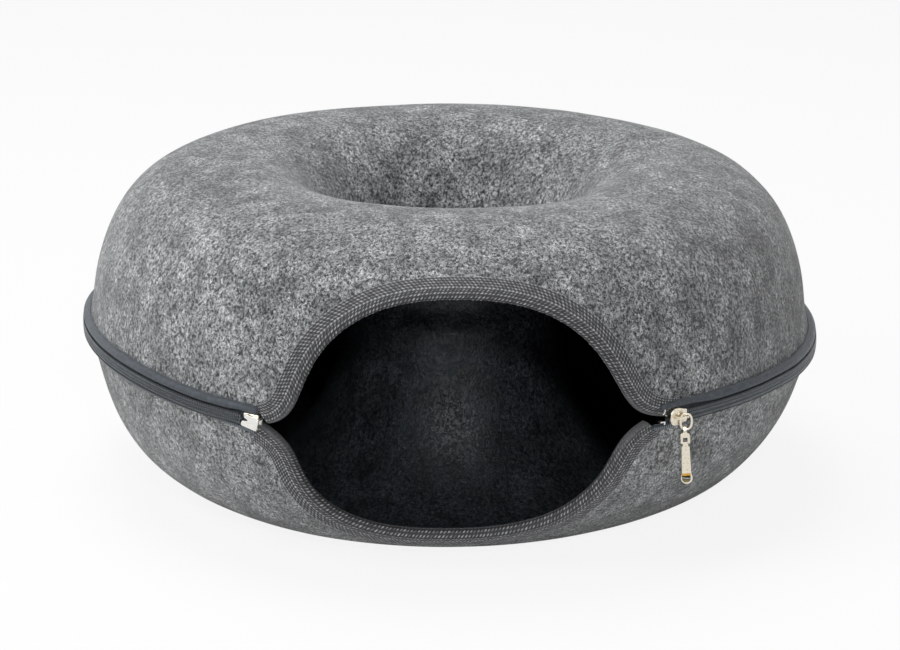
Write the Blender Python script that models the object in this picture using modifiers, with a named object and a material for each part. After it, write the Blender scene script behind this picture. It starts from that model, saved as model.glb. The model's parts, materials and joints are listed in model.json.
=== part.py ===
"""Donut cat tunnel: a felt ring of two moulded halves, zipped together outside and in the hole.

Metres, +Z up, with the doorway at -Y. The origin is on the floor in the middle of the overall
width and depth. Shapes are worked out about the ring's own axis, which an empty places.
"""
import math
from types import SimpleNamespace

import bmesh
import bpy
from mathutils import Vector

# The felt ring. Its section is a rounded form about RING_RADIUS, widest at ZIP_HEIGHT.
RING_RADIUS = 0.150
OUTER_HALF_WIDTH = 0.0944
INNER_HALF_WIDTH = 0.0770
ZIP_HEIGHT = 0.103
CROWN_RISE = 0.117
SETTLE = 0.0012
FELT_THICK = 0.0040
INNER_ZIP_LIFT = 0.017
UPPER_POWER = 2.5
LOWER_POWER = 1.95

# The doorway, measured over its binding from the zip's level.
UPPER_DOOR_HALF_WIDTH = 0.0972
UPPER_DOOR_POWER = 2.32
DOOR_RISE = 0.0823
UPPER_FLARE = 0.0150
UPPER_FLARE_REACH = 0.0150
LOWER_DOOR_HALF_WIDTH = 0.0995
LOWER_DOOR_POWER = 2.68
LOWER_DOOR_SHIFT = 0.0040
DOOR_DROP = 0.0758
LOWER_FLARE = 0.0140
LOWER_FLARE_REACH = 0.0090
UPPER_CORNER_GAP = 0.0008
LOWER_CORNER_GAP = 0.0040
BINDING_WIDTH = 0.0142
BINDING_THICK = 0.0014

# The outer zip: flat tapes with a rolled bead where they are sewn to the felt.
TAPE_THICK = 0.0007
TAPE_FLAT = 0.0060
UPPER_BEAD_WIDTH = 0.0040
LOWER_BEAD_WIDTH = 0.0022
UPPER_BEAD_RISE = 0.0056
LOWER_BEAD_RISE = 0.0040
TEETH_WIDTH = 0.0026
TEETH_HEIGHT = 0.0026
TEETH_SPLIT = 0.0012
TAPE_START = math.radians(29.8)
TEETH_START = math.radians(32.5)

# The slider, its ring and its pull.
SLIDER_AZIMUTH = math.radians(33.6)
SLIDER_LENGTH = 0.0130
SLIDER_WIDTH = 0.0112
SLIDER_TAIL_WIDTH = 0.0086
SLIDER_PLATE = 0.0011
CROWN_LENGTH = 0.0100
CROWN_BACK = 0.0014
CROWN_WIDTH = 0.0016
CROWN_THICK = 0.0012
CROWN_ROOM = 0.0025
RING_WIRE = 0.0015
RING_WIDTH = 0.0085
RING_HEIGHT = 0.0116
RING_POWER = 2.5
RING_TURN = math.radians(55)
RING_BACK = 0.0031
PULL_LENGTH = 0.0332
PULL_NECK = 0.0015
PULL_NECK_WIDTH = 0.0026
PULL_HEAD_WIDTH = 0.0064
PULL_HEAD_HEIGHT = 0.0068
PULL_EYE = 0.0029
PULL_WAIST = 0.0050
PULL_END_WIDTH = 0.0070
PULL_THICK = 0.0016
PULL_RIM = 0.0007
PULL_NOTCH = 0.0006
LUG_WALL = 0.0010
LUG_WIDTH = 0.0022
LUG_PLAY = 0.00045

# Stops at the doorway's right corner, and the box and pin at its left corner.
STOP_AZIMUTH = math.radians(31.3)
STOP_LENGTH = 0.0030
STOP_WALL = 0.0009
STOP_GRIP = 0.0016
FORK_HALF_HEIGHT = 0.0042
BOX_AZIMUTH = math.radians(30.9)
BOX_LENGTH = 0.0090
BOX_HEIGHT = 0.0100
BOX_WALL = 0.0011
BOX_PRONG = 0.0042

# The zip in the hole is a smaller size of the same pattern.
INNER_ZIP_SHARE = 0.72
INNER_SLIDER_ANGLE = math.radians(90)
INNER_TAPE_LEAD = 0.0085
INNER_END_GAP = 0.0030
INNER_BEAD_RISE = 0.0032
INNER_PULL_LENGTH = 0.0190
INNER_PULL_WIDTH = 0.0064
INNER_PULL_POWER = 3.5

GAP = 0.0003
CUT_RUN = 0.0150
TINY = 0.00001
RING_STEPS = 56
INNER_STEPS = 30
PROFILE_STEPS = 12
CROWN_STEPS = 10
BINDING_STEPS = 32
LOOP_STEPS = 20

UNDER_ZIP = ZIP_HEIGHT + SETTLE
INNER_ZIP_HEIGHT = ZIP_HEIGHT + INNER_ZIP_LIFT
FELT_RADIUS = RING_RADIUS + OUTER_HALF_WIDTH
HOLE_RADIUS = RING_RADIUS - INNER_HALF_WIDTH
HALF_STEP = math.pi / RING_STEPS
INNER_HALF_STEP = math.pi / INNER_STEPS
EDGE_GAP = TAPE_FLAT + GAP


def signed_power(value, power):
    return math.copysign(abs(value) ** power, value)


def section(angle):
    """Radius and height of the felt's outer face, from the outer waist (0) over the crown."""
    c, s = math.cos(angle), math.sin(angle)
    half = OUTER_HALF_WIDTH if c >= 0 else INNER_HALF_WIDTH
    rise = CROWN_RISE if s >= 0 else UNDER_ZIP
    power = 2 / (UPPER_POWER if s >= 0 else LOWER_POWER)
    return RING_RADIUS + half * signed_power(c, power), ZIP_HEIGHT + rise * signed_power(s, power)


def angle_at(height):
    """The section angle on the outer side that reaches a height."""
    up = height >= ZIP_HEIGHT
    rise = CROWN_RISE if up else UNDER_ZIP
    power = (UPPER_POWER if up else LOWER_POWER) / 2
    return math.asin(signed_power((height - ZIP_HEIGHT) / rise, power))


def on_felt(point, lift):
    """The place on the felt's outer face nearest to a point, moved out along the normal by lift."""
    azimuth = math.atan2(point.y, point.x)
    across = math.hypot(point.x, point.y) - RING_RADIUS
    above = point.z - ZIP_HEIGHT
    half = OUTER_HALF_WIDTH if across >= 0 else INNER_HALF_WIDTH
    rise = CROWN_RISE if above >= 0 else UNDER_ZIP
    power = UPPER_POWER if above >= 0 else LOWER_POWER
    level = abs(across / half) ** power + abs(above / rise) ** power
    scale = level ** (-1 / power)
    across, above = across * scale, above * scale
    slope_across = signed_power(across / half, power - 1) / half
    slope_above = signed_power(above / rise, power - 1) / rise
    slope = Vector((slope_across, slope_above)).normalized()
    radius = RING_RADIUS + across + slope.x * lift
    height = ZIP_HEIGHT + above + slope.y * lift
    return Vector((radius * math.cos(azimuth), radius * math.sin(azimuth), height))


def door_curve(upper):
    """Even points along the doorway's edge, over or under the zip, with the way out of the opening."""
    half = UPPER_DOOR_HALF_WIDTH if upper else LOWER_DOOR_HALF_WIDTH
    rise = DOOR_RISE if upper else DOOR_DROP
    flare = UPPER_FLARE if upper else LOWER_FLARE
    reach = UPPER_FLARE_REACH if upper else LOWER_FLARE_REACH
    corner = UPPER_CORNER_GAP if upper else LOWER_CORNER_GAP
    power = UPPER_DOOR_POWER if upper else LOWER_DOOR_POWER
    shift = 0 if upper else LOWER_DOOR_SHIFT
    sign = 1 if upper else -1
    first = math.asin((corner / rise) ** (power / 2))
    fine = []
    for i in range(20 * BINDING_STEPS + 1):
        turn = first + (math.pi - 2 * first) * i / (20 * BINDING_STEPS)
        z = rise * math.sin(turn) ** (2 / power)
        x = half * signed_power(math.cos(turn), 2 / power)
        x += shift + math.copysign(flare * math.exp(-z / reach), x)
        height = ZIP_HEIGHT + sign * z
        radius = section(angle_at(height))[0]
        fine.append(Vector((sign * x, -math.sqrt(radius ** 2 - x ** 2), height)))
    run = [0.0]
    for a, b in zip(fine, fine[1:]):
        run.append(run[-1] + (b - a).length)
    points, at = [], 0
    for i in range(BINDING_STEPS + 1):
        goal = run[-1] * i / BINDING_STEPS
        while at < len(run) - 2 and run[at + 1] < goal:
            at += 1
        share = (goal - run[at]) / (run[at + 1] - run[at])
        along = (fine[at + 1] - fine[at]).normalized()
        point = fine[at].lerp(fine[at + 1], share)
        normal = on_felt(point, BINDING_WIDTH) - on_felt(point, 0)
        points.append((point, along.cross(normal.normalized()).normalized()))
    return points


def felt_sag():
    """How far the felt's flat facets lie inside its true face."""
    round_ring = FELT_RADIUS * (1 - math.cos(HALF_STEP))
    round_section = CROWN_RISE * (1 - math.cos(math.pi / PROFILE_STEPS))
    return round_ring + round_section / 2


def axis_place():
    """The ring's axis stands before the middle of the depth, because the doorway cuts the front short."""
    lift = BINDING_THICK + GAP
    front = max(-on_felt(p, lift).y for upper in (True, False) for p, _ in door_curve(upper))
    back = FELT_RADIUS + UPPER_BEAD_RISE
    return (0, (front - back) / 2, 0)


def material(name, colour, roughness, metallic=0.0):
    made = bpy.data.materials.get(name) or bpy.data.materials.new(name)
    made.use_nodes = True
    shader = made.node_tree.nodes["Principled BSDF"]
    shader.inputs["Base Color"].default_value = (*colour, 1.0)
    shader.inputs["Roughness"].default_value = roughness
    shader.inputs["Metallic"].default_value = metallic
    return made


def felt():
    return material("grey_felt", (0.12, 0.12, 0.125), 0.95)


def webbing():
    return material("grey_webbing", (0.10, 0.10, 0.105), 0.75)


def tape_cloth():
    return material("navy_tape", (0.028, 0.033, 0.042), 0.7)


def nylon():
    return material("navy_nylon", (0.022, 0.026, 0.034), 0.45)


def nickel():
    return material("bright_nickel", (0.78, 0.74, 0.66), 0.22, 1.0)


def add_object(name, mesh, finish, home, parent=None):
    made = bpy.data.objects.new(name, mesh)
    home.objects.link(made)
    if finish:
        mesh.materials.append(finish)
    made.parent = parent or bpy.data.objects["ring_axis"]
    return made


def mesh_of(name, work, smooth=40):
    """Closes a bmesh into a mesh with outward faces and smooth shading under an angle."""
    bmesh.ops.remove_doubles(work, verts=work.verts, dist=TINY)
    bmesh.ops.recalc_face_normals(work, faces=work.faces)
    mesh = bpy.data.meshes.new(name)
    work.to_mesh(mesh)
    work.free()
    mesh.shade_smooth()
    mesh.set_sharp_from_angle(angle=math.radians(smooth))
    return mesh


def turned_shell(name, profile, home):
    """A full turn of an open profile, thickened inwards by the felt."""
    mesh = bpy.data.meshes.new(name)
    mesh.from_pydata([(r, 0, z) for r, z in profile], [(i, i + 1) for i in range(len(profile) - 1)], [])
    shell = add_object(name, mesh, felt(), home)
    turn = shell.modifiers.new("turn", "SCREW")
    turn.steps = turn.render_steps = RING_STEPS
    turn.use_merge_vertices = True
    turn.merge_threshold = TINY
    turn.use_smooth_shade = True
    wall = shell.modifiers.new("wall", "SOLIDIFY")
    wall.thickness = FELT_THICK
    wall.offset = -1
    wall.use_even_offset = True
    return shell


def cut(target, cutter, operation="DIFFERENCE"):
    step = target.modifiers.new(cutter.name, "BOOLEAN")
    step.operation = operation
    step.solver = "EXACT"
    step.object = cutter


def hide(cutter):
    cutter.hide_render = True
    cutter.display_type = "WIRE"
    return cutter


def spun_strip(name, profile, start, sweep, steps, finish, home):
    """A closed profile of radius and height swept about the ring's axis, with flat ends."""
    work = bmesh.new()
    ring = [work.verts.new((r * math.cos(start), r * math.sin(start), z)) for r, z in profile]
    face = work.faces.new(ring)
    bmesh.ops.spin(work, geom=[face], cent=(0, 0, 0), axis=(0, 0, 1), angle=sweep, steps=steps)
    return add_object(name, mesh_of(name, work), finish, home)


def lofted(name, rings, home, finish, smooth=40):
    """Joins rings of two matching chains into one strip, closed by quads at both ends."""
    work = bmesh.new()
    rows = [[work.verts.new(p) for p in outer + inner[::-1]] for outer, inner in rings]
    size = len(rows[0])
    for a, b in zip(rows, rows[1:]):
        for i in range(size):
            j = (i + 1) % size
            work.faces.new((a[i], a[j], b[j], b[i]))
    for row in (rows[0], rows[-1]):
        for i in range(size // 2 - 1):
            work.faces.new((row[i], row[i + 1], row[size - 2 - i], row[size - 1 - i]))
    return add_object(name, mesh_of(name, work, smooth), finish, home)


def prism(name, outline, low, high, finish, home, bevel=0.0, parent=None):
    """An outline in local Y and Z drawn out along X, its edges rounded by bevel."""
    work = bmesh.new()
    face = work.faces.new([work.verts.new((low, y, z)) for y, z in outline])
    moved = bmesh.ops.extrude_face_region(work, geom=[face])
    verts = [v for v in moved["geom"] if isinstance(v, bmesh.types.BMVert)]
    bmesh.ops.translate(work, verts=verts, vec=(high - low, 0, 0))
    made = add_object(name, mesh_of(name, work), finish, home, parent)
    if bevel:
        soften(made, bevel)
    return made


def block(name, low, high, home, parent=None, finish=None):
    """A box between two corners."""
    work = bmesh.new()
    bmesh.ops.create_cube(work, size=1)
    low, high = Vector(low), Vector(high)
    bmesh.ops.scale(work, verts=work.verts, vec=high - low)
    bmesh.ops.translate(work, verts=work.verts, vec=(low + high) / 2)
    return add_object(name, mesh_of(name, work), finish, home, parent)


def arc(centre, radius, start, end, steps):
    """Points on an arc in a flat outline."""
    spread = [start + (end - start) * i / steps for i in range(steps + 1)]
    return [(centre[0] + radius * math.cos(a), centre[1] + radius * math.sin(a)) for a in spread]


def wire_loop(name, half_width, half_height, wire, power, home, parent):
    """A closed wire ring in local X and Z, squarer than an ellipse by its power."""
    curve = bpy.data.curves.new(name, "CURVE")
    curve.dimensions = "3D"
    curve.bevel_depth = wire / 2
    curve.bevel_resolution = 1
    line = curve.splines.new("POLY")
    line.points.add(LOOP_STEPS - 1)
    line.use_cyclic_u = True
    for i, point in enumerate(line.points):
        turn = 2 * math.pi * i / LOOP_STEPS
        x = half_width * signed_power(math.cos(turn), 2 / power)
        z = half_height * signed_power(math.sin(turn), 2 / power)
        point.co = (x, 0, z, 1)
    line.use_smooth = True
    made = bpy.data.objects.new(name, curve)
    home.objects.link(made)
    curve.materials.append(nickel())
    made.parent = parent
    return made


def build_shells(home, tools):
    """Both felt halves, the lower one pressed flat on the floor, with the doorway cut through."""
    crown = [angle_at(ZIP_HEIGHT + EDGE_GAP), math.pi - angle_at(INNER_ZIP_HEIGHT + EDGE_GAP * INNER_ZIP_SHARE)]
    upper = [section(crown[1] + (crown[0] - crown[1]) * i / PROFILE_STEPS) for i in range(PROFILE_STEPS + 1)]
    base = angle_at(0)
    outer_edge = angle_at(ZIP_HEIGHT - EDGE_GAP)
    inner_edge = angle_at(INNER_ZIP_HEIGHT - EDGE_GAP * INNER_ZIP_SHARE)
    side = PROFILE_STEPS // 2
    lower = [section(outer_edge + (base - outer_edge) * i / side) for i in range(side + 1)]
    lower += [section(-math.pi - base - (inner_edge - base) * i / side) for i in range(side + 1)]
    shells = turned_shell("upper_shell", upper, home), turned_shell("lower_shell", lower, home)

    depth = BINDING_THICK + GAP
    edge = [(p, out) for upper_half in (True, False) for p, out in door_curve(upper_half)]
    rings = [[on_felt(p + out * depth, lift) for p, out in edge] for lift in (CUT_RUN, -CUT_RUN)]
    work = bmesh.new()
    rows = [[work.verts.new(p) for p in ring] for ring in rings]
    count = len(rows[0])
    front = work.verts.new((0, -FELT_RADIUS - CUT_RUN - CUT_RUN, ZIP_HEIGHT))
    back = work.verts.new((0, -FELT_RADIUS + CUT_RUN + CUT_RUN, ZIP_HEIGHT))
    for i in range(count):
        j = (i + 1) % count
        work.faces.new((rows[0][i], rows[0][j], rows[1][j], rows[1][i]))
        work.faces.new((rows[0][i], rows[0][j], front))
        work.faces.new((rows[1][i], rows[1][j], back))
    door = hide(add_object("doorway_cut", mesh_of("doorway_cut", work), None, tools))
    for shell in shells:
        cut(shell, door)


def build_bindings(home):
    """Webbing folded over the doorway's edge, one length on each half."""
    over = GAP
    under = FELT_THICK + GAP + felt_sag()
    bend = BINDING_THICK
    for name, upper in (("upper_door_binding", True), ("lower_door_binding", False)):
        rings = []
        for point, out in door_curve(upper):
            chains = []
            for skin in (BINDING_THICK, 0.0):
                top, bottom = over + skin, -under - skin
                edge = BINDING_THICK - skin
                turn = edge + bend * (0.3 + skin / BINDING_THICK / 2)
                legs = [(BINDING_WIDTH, top), (BINDING_WIDTH / 2, top), (turn, top), (edge, top + edge - turn)]
                legs += [(edge, bottom + turn - edge), (turn, bottom)]
                legs += [(BINDING_WIDTH / 2, bottom), (BINDING_WIDTH, bottom)]
                chains.append([on_felt(point + out * w, lift) for w, lift in legs])
            rings.append(chains)
        lofted(name, rings, home, webbing(), 50)


def tape_profile(face, way, side, share, bead_width, bead_rise, level):
    """A tape's section: flat by the teeth, then a rolled bead over the felt.

    way is +1 where the zip faces outwards and -1 where it faces the hole; side is +1 above the zip.
    """
    flat, split = TAPE_FLAT * share, TEETH_SPLIT * share / 2
    thick = TAPE_THICK * share
    beads = [(thick, flat), (bead_rise * 0.86, flat + bead_width * 0.06), (bead_rise, flat + bead_width * 0.42)]
    beads += [(bead_rise * 0.8, flat + bead_width * 0.82), (thick / 2, flat + bead_width)]
    points = [(0, split), (thick, split)] + beads + [(0, flat + bead_width)]
    return [(face + way * rise, level + side * high) for rise, high in points]


def teeth_profile(face, way, side, share, level):
    """One row of the coil, with a rounded outer face."""
    width, height, split = TEETH_WIDTH * share, TEETH_HEIGHT * share, TEETH_SPLIT * share / 2
    points = [(0, split), (height * 0.8, split), (height, split + width * 0.45), (height * 0.7, split + width)]
    points.append((0, split + width))
    return [(face + way * rise, level + side * high) for rise, high in points]


def outer_zip():
    """The zip round the outside: where its faces, tapes, teeth, stops and box lie."""
    tape = (FELT_RADIUS + GAP) / math.cos(HALF_STEP)
    teeth = (tape + TAPE_THICK + GAP / 2) / math.cos(HALF_STEP)
    front = -math.pi / 2
    box = 2 * math.pi - BOX_AZIMUTH
    box_reach = (BOX_LENGTH / 2 + BOX_PRONG + GAP) / teeth
    return SimpleNamespace(
        prefix="", share=1, way=1, level=ZIP_HEIGHT, tape=tape, teeth=teeth, half_step=HALF_STEP,
        start=front + TAPE_START, end=front + 2 * math.pi - TAPE_START,
        teeth_start=front + TEETH_START, teeth_end=front + box - box_reach,
        slider=front + SLIDER_AZIMUTH, stop=front + STOP_AZIMUTH, box=front + box,
        beads=(UPPER_BEAD_RISE - tape + FELT_RADIUS, LOWER_BEAD_RISE - tape + FELT_RADIUS),
    )


def inner_zip():
    """The zip round the hole: a smaller size that faces the ring's axis, its ends side by side."""
    share = INNER_ZIP_SHARE
    tape = HOLE_RADIUS * math.cos(HALF_STEP) - GAP
    teeth = (tape - TAPE_THICK * share) * math.cos(INNER_HALF_STEP) - GAP / 2
    slider = INNER_SLIDER_ANGLE
    start = slider - INNER_TAPE_LEAD / tape
    end = start + 2 * math.pi - INNER_END_GAP / tape
    box = end - INNER_TAPE_LEAD / tape
    box_reach = (BOX_LENGTH / 2 + BOX_PRONG + GAP) * share / teeth
    stop = slider - (SLIDER_LENGTH / 2 + STOP_LENGTH) * share / tape - GAP / tape
    bead = INNER_BEAD_RISE - HOLE_RADIUS + tape
    return SimpleNamespace(
        prefix="inner_", share=share, way=-1, level=INNER_ZIP_HEIGHT, tape=tape, teeth=teeth,
        half_step=INNER_HALF_STEP, start=start, end=end,
        teeth_start=slider - SLIDER_LENGTH * share * 0.25 / tape, teeth_end=box - box_reach,
        slider=slider, stop=stop, box=box, beads=(bead, bead),
    )


def seat_on(zipper, name, angle, home):
    """An empty on the zip's face at an angle, its local X pointing out of the zip."""
    axis = empty(f"{name}_axis", home, (0, 0, zipper.level), angle, bpy.data.objects["ring_axis"])
    return empty(f"{name}_seat", home, (zipper.tape, 0, 0), 0 if zipper.way > 0 else math.pi, axis)


def zip_room(zipper, length):
    """Back, slot and face of the room inside a straight metal piece for the curved zip to run through."""
    bow = (length / 2) ** 2 / (2 * zipper.tape) + zipper.teeth * (1 - math.cos(zipper.half_step))
    behind, before = (bow, 0) if zipper.way > 0 else (0, bow)
    thick = abs(zipper.teeth - zipper.tape) + TEETH_HEIGHT * zipper.share
    return -behind - GAP, TAPE_THICK * zipper.share + before + GAP, thick + before + GAP


def build_tapes(zipper, home, tools):
    """Tapes and coil rows of one zip, forked where the stops sit."""
    share, way = zipper.share, zipper.way
    fork_half = FORK_HALF_HEIGHT * share
    stop_back = (zipper.teeth_start - zipper.stop) * zipper.tape - STOP_LENGTH * share
    reach = (zipper.teeth_start - zipper.start) * zipper.tape + CUT_RUN
    nose = [(GAP, 0), (-stop_back, fork_half), (-reach, fork_half)]
    outline = nose + [(y, -z) for y, z in nose[:0:-1]]
    name = f"{zipper.prefix}fork_cut"
    fork = prism(name, outline, zipper.tape - CUT_RUN, zipper.tape + CUT_RUN, None, tools)
    fork.location.z = zipper.level
    fork.rotation_euler.z = zipper.teeth_start
    hide(fork)
    widths = (UPPER_BEAD_WIDTH, LOWER_BEAD_WIDTH)
    for half, side, width, rise in zip(("upper", "lower"), (1, -1), widths, zipper.beads):
        profile = tape_profile(zipper.tape, way, side, share, width * share, rise, zipper.level)
        steps = round((zipper.end - zipper.start) / zipper.half_step / 2)
        sweep = zipper.end - zipper.start
        name = f"{zipper.prefix}{half}_zip_tape"
        strip = spun_strip(name, profile, zipper.start, sweep, steps, tape_cloth(), home)
        cut(strip, fork)
        row = teeth_profile(zipper.teeth, way, side, share, zipper.level)
        sweep = zipper.teeth_end - zipper.teeth_start
        steps = round(sweep / zipper.half_step / 2)
        name = f"{zipper.prefix}{half}_zip_teeth"
        spun_strip(name, row, zipper.teeth_start, sweep, steps, nylon(), home)


def build_stops(zipper, home):
    """Bent clips on the forked edges of the tapes, which the slider ends against."""
    share = zipper.share
    back, slot, _ = zip_room(zipper, STOP_LENGTH * share)
    wall, half = STOP_WALL * share, STOP_LENGTH * share / 2
    edge = FORK_HALF_HEIGHT * share - GAP
    bottom, top = edge - wall, edge + GAP + STOP_GRIP * share
    low, high = back - wall, slot + wall
    line = [(low, top), (low, bottom), (high, bottom), (high, top)]
    line += [(slot, top), (slot, edge), (back, edge), (back, top)]
    for half_name, side in (("upper", 1), ("lower", -1)):
        name = f"{zipper.prefix}{half_name}_top_stop"
        work = bmesh.new()
        ends = [[work.verts.new((x, y, side * z)) for x, z in line] for y in (-half, half)]
        for i in range(8):
            j = (i + 1) % 8
            work.faces.new((ends[0][i], ends[0][j], ends[1][j], ends[1][i]))
        for row in ends:
            for quad in ((0, 1, 6, 7), (1, 2, 5, 6), (2, 3, 4, 5)):
                work.faces.new([row[k] for k in quad])
        clip = add_object(name, mesh_of(name, work), nickel(), home, seat_on(zipper, name, zipper.stop, home))
        soften(clip, wall * 0.3)


def build_slider(zipper, home, tools):
    """Two plates joined by a post in front, with turned edges and a crown for the pull.

    Returns the turning empty's seat and how far the crown's bar stands off the tape.
    """
    share, front = zipper.share, -zipper.way
    length, width, plate = SLIDER_LENGTH * share, SLIDER_WIDTH * share, SLIDER_PLATE * share
    back, slot, face = zip_room(zipper, length)
    low, high = back - plate, face + plate
    name = f"{zipper.prefix}zip_slider"
    seat = seat_on(zipper, name, zipper.slider, home)
    outline = [(-front * y, z) for y, z in slider_outline(share)]
    body = prism(name, outline, low, high, nickel(), home, plate * 0.35, seat)
    room = (TEETH_SPLIT / 2 + TEETH_WIDTH) * share + GAP
    split = TEETH_SPLIT * share / 2 - GAP
    line = [(back, -width), (slot, -width), (slot, -room), (face, -room)]
    line += [(x, -z) for x, z in line[::-1]]
    post_low, post_high = sorted((front * length * 0.44, front * length * 0.2))
    post = (low + plate / 2, post_low, -split), (high - plate / 2, post_high, split)
    tools_here = [
        (channel(f"{name}_channel", line, length, tools), "DIFFERENCE"),
        (block(f"{name}_post", *post, tools), "UNION"),
        (crown(f"{name}_crown", share, high, plate, -front, tools), "UNION"),
    ]
    for tool, operation in tools_here:
        tool.parent = seat
        cut(body, hide(tool), operation)
    return seat, high + (CROWN_ROOM + CROWN_THICK / 2) * share


def slider_outline(share):
    """The slider's plate: broad rounded shoulders in front (-Y), narrow tail behind (+Y)."""
    half, wide, tail = SLIDER_LENGTH * share / 2, SLIDER_WIDTH * share / 2, SLIDER_TAIL_WIDTH * share / 2
    upper = [(-half, 0), (-half * 0.97, wide * 0.45), (-half * 0.80, wide * 0.84), (-half * 0.45, wide)]
    upper += [(half * 0.10, wide * 0.97), (half * 0.62, tail), (half * 0.92, tail * 0.96), (half, tail * 0.8)]
    return upper + [(y, -z) for y, z in upper[:0:-1]]


def crown(name, share, foot, plate, side, home):
    """The slider's arch, drawn from the side behind the slider's middle and given its width along Z."""
    back = side * CROWN_BACK * share
    half, bar = CROWN_LENGTH * share / 2, CROWN_THICK * share
    top, sunk = CROWN_ROOM * share + bar, foot - plate / 2
    chains = []
    for reach, height in ((half, top), (half - bar, top - bar)):
        turns = [math.pi * (1 - i / CROWN_STEPS) for i in range(CROWN_STEPS + 1)]
        line = []
        for turn in turns[1:-1]:
            line.append((reach * signed_power(math.cos(turn), 0.5), foot + height * math.sin(turn) ** 0.5))
        chains.append([(-reach, sunk)] + line + [(reach, sunk)])
    work = bmesh.new()
    rows = [[work.verts.new((x, y + back, -CROWN_WIDTH * share / 2)) for y, x in chain] for chain in chains]
    for i in range(CROWN_STEPS):
        work.faces.new((rows[0][i], rows[0][i + 1], rows[1][i + 1], rows[1][i]))
    moved = bmesh.ops.extrude_face_region(work, geom=work.faces[:])
    verts = [v for v in moved["geom"] if isinstance(v, bmesh.types.BMVert)]
    bmesh.ops.translate(work, verts=verts, vec=(0, 0, CROWN_WIDTH * share))
    return add_object(name, mesh_of(name, work), None, home)


def hang_depth(half_width, half_height, wire, power, share):
    """How far a wire loop's middle hangs below the crown's bar that it is hooked over and swings on."""
    corner = (CROWN_THICK * share / 2 + wire / 4) / math.cos(RING_TURN) / half_width
    arch = half_height * (1 - corner ** power) ** (1 / power)
    return arch - wire / 2 - CROWN_WIDTH * share / 2 - GAP


def build_ring_and_pull(seat, bar, home, tools):
    """The wire ring that hangs on the slider's crown, and the long pull that hangs on the ring."""
    swing = empty("ring_swing_axis", home, (bar, RING_BACK, 0), 0, seat)
    half_width, half_height = (RING_WIDTH - RING_WIRE) / 2, (RING_HEIGHT - RING_WIRE) / 2
    drop = hang_depth(half_width, half_height, RING_WIRE, RING_POWER, 1)
    ring = wire_loop("pull_ring", half_width, half_height, RING_WIRE, RING_POWER, home, swing)
    ring.location.z = -drop
    ring.rotation_euler.z = RING_TURN
    hang = empty("pull_swing_axis", home, (0, 0, -drop - half_height), RING_TURN - math.pi / 2, swing)
    build_pull(home, tools, hang)


def build_pull(home, tools, parent):
    """A lug round the ring, a square eye, a waisted bar and a dished round end."""
    head, end, waist = PULL_HEAD_WIDTH / 2, PULL_END_WIDTH / 2, PULL_WAIST / 2
    bore = RING_WIRE / 2 + LUG_PLAY
    hook = -bore - LUG_WALL / 2
    top = hook - PULL_NECK
    neck, centre = top - PULL_HEAD_HEIGHT, top - PULL_LENGTH + end
    side = [(PULL_NECK_WIDTH / 2, hook), (PULL_NECK_WIDTH / 2, top), (head * 0.62, top), (head, top - head * 0.5)]
    side += [(head, neck), (head - PULL_NOTCH, neck)]
    side += [(head - PULL_NOTCH, neck - PULL_NOTCH), (waist, neck - PULL_NOTCH)]
    side.append((waist, neck - PULL_LENGTH / 3))
    side += arc((0, centre), end, math.radians(8), math.radians(-90), 5)
    outline = side + [(-y, z) for y, z in side[-2::-1]]
    thick, bevel = PULL_THICK / 2, PULL_THICK * 0.22
    pull = prism("pull_tab", outline, -thick, thick, nickel(), home, bevel, parent)
    eye, eye_mid = PULL_EYE / 2, top - PULL_HEAD_HEIGHT * 0.55
    window = block("pull_eye", (-CUT_RUN, -eye, eye_mid - eye), (CUT_RUN, eye, eye_mid + eye), tools)
    dish = end - PULL_RIM
    turns = [math.pi * i / 10 for i in range(11)]
    line = [(dish * math.cos(a), centre - dish * math.sin(a)) for a in turns]
    line = [(dish, centre + dish * 0.75)] + line + [(-dish, centre + dish * 0.75)]
    hollow = prism("pull_dish", line, thick - PULL_RIM, thick + CUT_RUN, None, tools)
    lug = tube("pull_lug", bore, bore + LUG_WALL, LUG_WIDTH, 16, tools)
    for tool, operation in ((window, "DIFFERENCE"), (hollow, "DIFFERENCE"), (lug, "UNION")):
        tool.parent = parent
        cut(pull, hide(tool), operation)


def build_inner_pull(seat, bar, home):
    """A plain wire loop that hangs on the small slider's crown."""
    share = INNER_ZIP_SHARE
    swing = empty("inner_pull_swing_axis", home, (bar, -CROWN_BACK * share, 0), 0, seat)
    wire = RING_WIRE * share
    half_width, half_height = (INNER_PULL_WIDTH - wire) / 2, (INNER_PULL_LENGTH - wire) / 2
    loop = wire_loop("inner_pull_loop", half_width, half_height, wire, INNER_PULL_POWER, home, swing)
    loop.location.z = -hang_depth(half_width, half_height, wire, INNER_PULL_POWER, share)
    loop.rotation_euler.z = RING_TURN


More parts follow.
